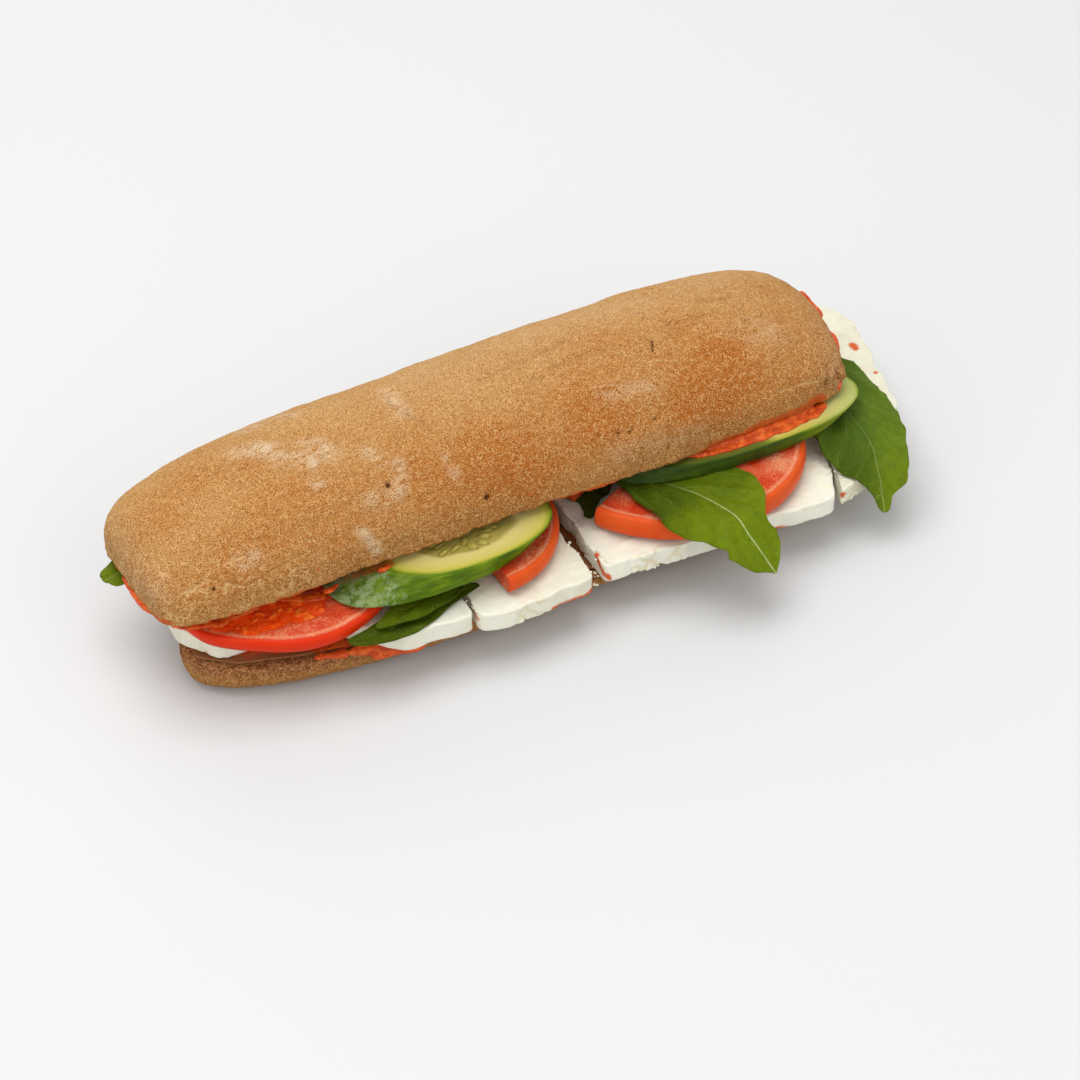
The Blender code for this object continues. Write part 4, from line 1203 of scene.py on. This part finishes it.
# Streaks of flour: their lines, reaches and amounts.
FLOUR = [
    ([(-9.3, 1.72, 6.1), (-9.0, 1.65, 6.14), (-8.43, 1.4, 6.22)], 0.30, 0.75),
    ([(-8.43, 1.4, 6.22), (-8.08, 0.6, 6.27), (-7.56, 0.33, 6.32), (-6.92, 0.06, 6.33)], 0.36, 0.8),
    ([(-7.41, 0.96, 6.31), (-6.94, 0.72, 6.4), (-6.87, 0.29, 6.37)], 0.18, 0.7),
    ([(-7.4, 0.0, 6.3), (-7.6, -0.34, 6.21), (-7.68, -0.7, 6.1)], 0.20, 0.95),
    ([(-8.2, 2.9, 5.8), (-7.0, 2.6, 6.1)], 0.40, 0.8),
    ([(-6.95, -1.95, 4.9), (-6.77, -2.08, 4.6), (-6.6, -2.17, 4.2)], 0.16, 1.1),
    ([(-10.6, -1.58, 4.98), (-10.2, -1.63, 5.02)], 0.25, 0.6),
    ([(-4.15, 1.75, 6.45), (-4.26, 1.1, 6.45), (-4.2, 0.6, 6.45)], 0.26, 0.8),
    ([(-5.2, -1.0, 6.02), (-5.33, -1.36, 5.79), (-5.54, -1.63, 5.52)], 0.2, 0.9),
    ([(-6.39, -1.55, 5.54), (-6.02, -1.59, 5.53)], 0.3, 0.5),
    ([(-3.79, -1.24, 5.87), (-3.77, -1.66, 5.59)], 0.2, 0.6),
    ([(-5.85, -0.3, 6.25), (-5.7, -0.7, 6.15)], 0.22, 0.7),
    ([(6.9, -0.6, 6.1), (7.9, -0.8, 5.95)], 0.5, 0.3),
    ([(1.6, -1.1, 6.05), (3.1, -1.36, 5.9)], 0.28, 0.45),
    ([(-13.1, 1.2, 4.2), (-13.1, -0.6, 4.2)], 0.7, 0.35),
    ([(9.6, -0.9, 4.8), (10.0, 0.5, 4.6)], 0.8, 0.25),
    ([(1.5, -2.2, 4.62), (4.3, -2.31, 4.4)], 0.35, 0.25),
    ([(-3.0, 2.0, 6.3), (3.0, 2.2, 6.4), (8.0, 2.2, 6.0)], 1.3, 0.18),
]
CRACKS = [
    [(-12.55, -1.45, 4.08), (-12.16, -1.47, 4.46), (-11.65, -1.5, 4.71), (-11.16, -1.75, 4.54)],
    [(-11.16, -1.75, 4.54), (-10.64, -1.95, 4.31), (-9.93, -1.95, 4.54), (-9.36, -1.95, 4.67)],
    [(-9.36, -1.95, 4.67), (-8.72, -1.96, 4.77), (-8.22, -2.08, 4.51)],
    [(-11.09, -1.43, 5.01), (-10.39, -1.53, 5.09)],
    [(-8.9, -1.72, 5.13), (-8.43, -1.8, 5.07), (-8.2, -1.94, 4.84), (-8.22, -2.08, 4.51)],
    [(-5.71, -1.84, 5.2), (-5.77, -2.12, 4.68)],
    [(-5.18, -2.21, 4.27), (-5.15, -2.26, 3.8)],
    [(2.57, 0.11, 6.48), (3.37, -0.55, 6.31), (4.45, -0.87, 6.12)],
    [(7.28, -2.18, 4.7), (8.22, -2.1, 4.61), (9.12, -2.01, 4.36)],
    [(-10.0, 2.57, 5.81), (-9.5, 1.8, 6.07), (-8.86, 1.51, 6.17)],
]
# Slits and pinholes, painted near black as shade inside them, with how far each opens round its line or
# its spot.
SLITS = [
    ([(4.01, 0.04, 6.45), (3.83, -0.32, 6.37)], 0.012),
    ([(9.77, -1.86, 4.1), (9.6, -1.9, 3.85)], 0.012),
    ([(-4.25, 1.5, 6.45), (-4.3, 1.2, 6.43), (-4.24, 1.0, 6.43)], -0.008),
    ([(-4.12, 0.6, 6.43), (-4.05, 0.4, 6.42)], -0.012),
]
PINHOLES = [
    ((-2.9, -2.1, 4.6), 0.075),
    ((-5.76, -1.36, 5.7), 0.07),
    ((-6.36, -2.03, 3.75), 0.05),
    ((-9.83, 2.81, 5.73), 0.045),
    ((2.04, -2.05, 5.09), 0.035),
    ((1.68, -2.0, 5.13), 0.035),
    ((2.94, -1.99, 5.2), 0.03),
    ((3.23, -2.37, 4.2), 0.025),
    ((-11.55, -1.71, 4.45), 0.045),
]
# Dents and folds pressed into the top, darkened with painted shade in their hollows.
DENTS = [(0.1, 1.44, 6.5), (0.05, 0.07, 6.43), (6.62, -0.43, 6.21)]
FOLDS = [
    [(6.3, 1.1, 6.42), (6.9, 0.95, 6.38), (7.5, 1.05, 6.29)],
    [(6.7, 1.5, 6.45), (7.6, 1.5, 6.3), (8.4, 1.35, 6.1)],
    [(8.7, 1.4, 5.98), (9.25, 1.28, 5.78)],
    [(-4.3, 1.0, 6.45), (-4.05, 0.3, 6.4), (-3.6, -0.3, 6.35)],
    [(0.6, 0.3, 6.45), (2.2, 0.35, 6.45), (3.6, 0.15, 6.45)],
    [(-1.5, 0.9, 6.5), (0.2, 1.0, 6.5), (1.8, 1.3, 6.55)],
    [(4.4, 0.4, 6.45), (5.6, 0.5, 6.45), (6.6, 0.35, 6.4)],
    [(7.2, -0.2, 6.15), (8.3, -0.1, 5.95), (9.2, -0.25, 5.6)],
    [(-9.9, 1.0, 6.0), (-8.9, 0.9, 6.2), (-8.0, 1.2, 6.3)],
]
# Spots that baked darker, each with how much.
BAKED = [((5.75, -1.57, 5.64), 1.5), ((-11.48, 1.93, 5.66), 0.5), ((1.11, -1.55, 5.72), 0.8)]
BAKED += [((-1.52, -2.07, 4.84), 0.7), ((-2.49, -1.6, 5.61), 0.6), ((4.45, -2.08, 5.02), 1.0)]
BAKED_REACH = 1.1
# Where the cut edge is torn open at the right, and the grain of the crumb that shows there.
TORN, TORN_GRAIN = [(9.35, -1.85, 4.25), (9.75, -1.75, 4.0)], (0.22, 0.22, 0.4)
# Sauce that soaked into the cut edge and a few spots of the crust: lines, reaches and amounts.
CRUST_SMEARS = [
    ([(-0.6, -2.33, 3.72), (0.3, -2.33, 3.7), (1.2, -2.35, 3.66)], 0.12, 0.9),
    ([(1.4, -2.36, 3.6), (3.0, -2.38, 3.56), (4.6, -2.38, 3.58)], 0.08, 0.8),
    ([(4.7, -2.38, 3.58), (5.75, -2.4, 3.62), (6.5, -2.38, 3.7), (8.9, -2.15, 3.75)], 0.27, 1.25),
    ([(-13.1, 1.9, 3.3), (-13.13, 0.4, 3.3), (-13.1, -0.6, 3.35), (-12.9, -1.3, 3.5)], 0.1, 1.0),
    ([(-12.2, -1.7, 3.5), (-10.6, -2.06, 3.6), (-9.1, -2.18, 3.65)], 0.09, 0.8),
    ([(10.3, 1.8, 3.6), (10.4, 0.6, 3.6), (10.3, -0.6, 3.6)], 0.12, 0.9),
    ([(-10.74, -1.85, 4.5)], 0.06, 1.0),
    ([(-1.54, -2.23, 4.28)], 0.12, 0.6),
    ([(5.78, -2.28, 4.49)], 0.08, 0.9),
    ([(-8.49, -2.15, 4.22)], 0.06, 0.9),
]

points, normals, faces = baked_shape("roll_top", UPPER_CELL)
blunt_end = fade(points[:, 0], 7.5, 10.3) * fade(points[:, 1], -1.4, 1.2)
points[:, 0] += 0.24 * blunt_end
height = points[:, 2] - (level_of("spread_top") + 0.03 - droop(points[:, 0]))
flour = smudges(points, FLOUR)
crack = nearest(points, CRACKS)
holes = SLITS + [([spot], hole) for spot, hole in PINHOLES]
pit = np.min([distance(points, line) - gap for line, gap in holes], axis=0)
dent = sum(nearness(points, [spot], 0.22) for spot in DENTS)
wrinkle = 1.0 - np.abs(lumps(points, (0.9, 0.28, 0.4), 6)) * 2.4
near_cut = 1.0 - fade(height, 0.05, 0.5)
torn = nearness(points, TORN, 0.42)
fold = nearest(points, FOLDS) + 0.08 * lumps(points, 0.5, 16)
fold = hump(np.maximum(fold, 0.0), 0.08) - 0.5 * hump(fold - 0.2, 0.1)
push = 0.034 * lumps(points, 0.9, 7) + 0.014 * lumps(points, 0.3, 8)
push += 0.008 * lumps(points, 0.15, 9) + 0.026 * lumps(points, (2.4, 0.45, 0.6), 15)
push -= 0.05 * fold
push += 0.035 * np.clip(wrinkle, -0.5, 1.0) * np.clip(flour, 0.0, 1.0)
push += near_cut * (0.05 * lumps(points, 0.35, 10) + 0.045 * lumps(points, 0.16, 11))
push += torn * (0.28 * lumps(points, TORN_GRAIN, 12) - 0.02)
push -= 0.03 * hump(crack, 0.06) + 0.09 * hump(np.maximum(pit, 0.0), 0.05)
push -= 0.08 * dent
push *= fade(height, -0.02, 0.04)
points = points + normals * push[:, None]
# Greyer, darker crust in a band just above the cut edge, and painted shade in the dents and along the
# folds.
grey = (1.0 - fade(height, 0.5, 1.3)) * fade(height, 0.05, 0.3)
grey = grey * (0.6 + 0.4 * lumps(points, 0.8, 13)) + 0.45 * dent + 0.5 * fold
x, y, _ = points.T
baked = smudges(points, [([spot], BAKED_REACH, amount) for spot, amount in BAKED])
# Redder towards the front and paler towards the back.
baked += 0.45 * fade(-y, 0.0, 2.0) - 0.45 * fade(y, 0.8, 2.6)
cut_crumb = 1.0 - fade(height + 0.05 * lumps(points, 0.4, 14), 0.02, 0.12)
torn_crumb = 0.6 * fade(torn * (0.6 - lumps(points, TORN_GRAIN, 12)), 0.3, 0.5)
marks = {
    "baked": baked,
    "grey": np.clip(grey, 0.0, 1.0),
    "flour": flour + 0.3 * torn,
    "crackle": fade(-x, 7.0, 9.5) * (1.0 - fade(height, 1.2, 2.0)) * fade(height, 0.05, 0.3),
    "crack": crack,
    "pit": pit,
    "crumb": np.maximum(cut_crumb, torn_crumb),
    "sauce": smudges(points, CRUST_SMEARS),
}
look = crust_finish("wholemeal_upper")
serve("bread_upper_half", "roll_top", "crust", points, faces, look, marks)

# ---------------------------------------------------------------------------------------------
# Sauce that was pressed out when the roll was closed: wet crushed pepper that clings in lumps to
# the cut edges, the cucumber, the tomato and the front of the lower half.

SMEAR_CELL, SMEAR_SMOOTHING = 0.032, 6
SMEAR_STEP, SMEAR_SIDES, UPRIGHT = 0.05, 20, np.array((0.0, 0.0, 1.0))
# Each smear's line, its radius at the line's start and end, and its height as a share of its width.
SMEARS = [
    ([(6.7, -2.42, 3.45), (7.8, -2.34, 3.45), (8.5, -2.2, 3.45), (9.1, -1.98, 3.46)], 0.17, 0.34, 0.25),
    ([(4.2, -2.3, 3.45), (5.2, -2.42, 3.45), (6.1, -2.44, 3.45), (7.1, -2.42, 3.45)], 0.08, 0.2, 0.3),
    ([(4.6, -2.16, 3.53), (6.0, -2.28, 3.56), (7.4, -2.28, 3.56), (8.6, -2.02, 3.58)], 0.1, 0.16, 0.8),
    ([(3.9, -2.16, 3.52), (4.6, -2.26, 3.5)], 0.1, 0.16, 0.6),
    ([(10.72, 2.1, 4.4), (10.82, 1.8, 4.4), (10.84, 1.3, 4.35), (10.72, 0.8, 4.3)], 0.24, 0.16, 0.9),
    ([(10.72, 0.8, 4.3), (10.55, -0.3, 4.35), (10.25, -1.0, 4.4)], 0.08, 0.06, 1.0),
    ([(10.7, 2.0, 4.12), (10.74, 1.5, 4.1), (10.7, 1.0, 4.12)], 0.16, 0.2, 1.0),
    ([(10.7, 1.9, 3.85), (10.74, 1.4, 3.8), (10.7, 0.8, 3.85)], 0.2, 0.18, 1.0),
    ([(10.62, 2.2, 3.58), (10.68, 1.4, 3.55), (10.6, 0.4, 3.56), (10.4, -0.5, 3.58)], 0.14, 0.1, 1.0),
    ([(9.6, -1.9, 3.75), (9.95, -1.65, 3.9)], 0.1, 0.08, 1.0),
    ([(-13.1, 1.4, 3.28), (-13.12, 0.6, 3.28), (-13.08, 0.0, 3.3), (-12.96, -0.6, 3.32)], 0.07, 0.1, 1.0),
    ([(-12.96, -0.6, 3.32), (-12.76, -1.15, 3.35), (-12.4, -1.5, 3.38)], 0.1, 0.06, 1.0),
    ([(-12.5, -0.5, 2.7), (-11.8, -0.95, 2.72), (-11.0, -1.25, 2.74)], 0.2, 0.24, 0.3),
    ([(-11.3, -1.0, 2.74), (-10.6, -1.1, 2.74), (-10.0, -1.2, 2.74)], 0.28, 0.2, 0.35),
    ([(-9.4, -1.15, 2.76), (-8.7, -1.45, 2.75), (-8.1, -1.7, 2.75)], 0.14, 0.22, 0.35),
    ([(-8.0, -2.86, 1.36), (-7.0, -3.02, 1.3), (-6.1, -3.14, 1.26), (-5.3, -3.2, 1.22)], 0.14, 0.22, 0.9),
    ([(-7.4, -3.02, 1.16), (-6.5, -3.14, 1.1), (-5.7, -3.22, 1.1)], 0.18, 0.2, 1.0),
    ([(-9.0, -2.56, 1.36), (-8.0, -2.84, 1.34)], 0.06, 0.12, 0.8),
    ([(-6.6, -2.14, 3.42), (-6.4, -2.22, 3.41), (-6.2, -2.14, 3.43)], 0.11, 0.06, 0.3),
    ([(-8.3, -2.04, 3.24), (-8.1, -2.1, 3.26), (-7.8, -2.0, 3.3)], 0.09, 0.06, 0.3),
]

smeared = bmesh.new()
for order, (line, first, last, depth) in enumerate(SMEARS):
    length = np.linalg.norm(np.diff(np.array(line), axis=0), axis=1).sum()
    shares = np.linspace(0.0, 1.0, max(10, int(length / SMEAR_STEP)))
    centre = along(line, shares)
    side = unit(np.cross(np.gradient(centre, axis=0), UPRIGHT))
    size = (first + (last - first) * shares) * np.sqrt(1.02 - np.abs(2.0 * shares - 1.0) ** 6)
    rings = []
    for turn in np.linspace(0.0, FULL_TURN, SMEAR_SIDES, endpoint=False):
        out = (math.cos(turn) * side + math.sin(turn) * depth * UPRIGHT) * size[:, None]
        edge = centre + out
        uneven = 1.0 + 0.55 * lumps(edge, 0.8, 84 + order) + 0.15 * lumps(edge, 0.25, 94 + order)
        rings.append([smeared.verts.new(place) for place in (centre + out * uneven[:, None]) * CM])
    for near, far in zip(rings, rings[1:] + rings[:1]):
        for k in range(len(shares) - 1):
            smeared.faces.new((near[k], near[k + 1], far[k + 1], far[k]))
    smeared.faces.new([ring[0] for ring in rings])
    smeared.faces.new([ring[-1] for ring in reversed(rings)])
points, normals, faces = kneaded(smeared, SMEAR_CELL, SMEAR_SMOOTHING)
push = 0.03 * lumps(points, 0.4, 82) + 0.016 * lumps(points, 0.16, 83) + 0.02
points = points + normals * push[:, None]
serve("pressed_out_sauce", None, "pepper_spread", points, faces, red_sauce)

# ---------------------------------------------------------------------------------------------
# A pale floor, soft light from large lamps as in a studio, and the camera.

FLOOR_SIZE = 6.0
LIT_PLACE = Vector((0.0, 0.0, 0.03))
AIM = Vector((-0.0024 + MIDDLE[0] * CM, -0.0357 + MIDDLE[1] * CM, 0.030))
AZIMUTH, ELEVATION, DISTANCE, LENS = math.radians(-29.78), math.radians(40.0), 0.89, 100.0

floor_mesh = bpy.data.meshes.new("floor")
half = FLOOR_SIZE / 2
corners = [(-half, -half, 0), (half, -half, 0), (half, half, 0), (-half, half, 0)]
floor_mesh.from_pydata(corners, [], [(0, 1, 2, 3)])
floor = placed("floor", floor_mesh)
paper = Finish("pale_floor", base_color=(0.63, 0.63, 0.63), roughness=0.9, specular_ior_level=0.1)
floor_mesh.materials.append(paper.material)


def lamp(name, place, size, power):
    """A square soft white lamp that faces the middle of the sandwich."""
    light = bpy.data.lights.new(name, "AREA")
    light.shape, light.size, light.energy = "SQUARE", size, power
    made = placed(name, light)
    made.location = place
    made.rotation_euler = (Vector(place) - LIT_PLACE).to_track_quat("Z", "Y").to_euler()


lamp("overhead", (-0.2, 0.1, 1.3), 1.1, 12.0)
lamp("front", (0.2, -1.4, 0.8), 1.3, 6.0)
lamp("left", (-1.3, -0.5, 0.7), 1.0, 4.6)
lamp("back", (0.3, 1.7, 1.1), 1.4, 8.0)

world = bpy.data.worlds.new("studio")
world.use_nodes = True
background = world.node_tree.nodes["Background"]
background.inputs["Color"].default_value = (1.0, 1.0, 1.0, 1.0)
background.inputs["Strength"].default_value = 0.65
bpy.context.scene.world = world
bpy.context.scene.view_settings.view_transform = "Standard"

flat = math.cos(ELEVATION)
back = Vector((math.sin(AZIMUTH) * flat, -math.cos(AZIMUTH) * flat, math.sin(ELEVATION)))
lens = bpy.data.cameras.new("camera")
lens.lens, lens.sensor_width, lens.clip_start = LENS, 36.0, 0.01
camera = placed("camera", lens)
camera.location = AIM + back * DISTANCE
camera.rotation_mode = "QUATERNION"
camera.rotation_quaternion = back.to_track_quat("Z", "Y")
bpy.context.scene.camera = camera
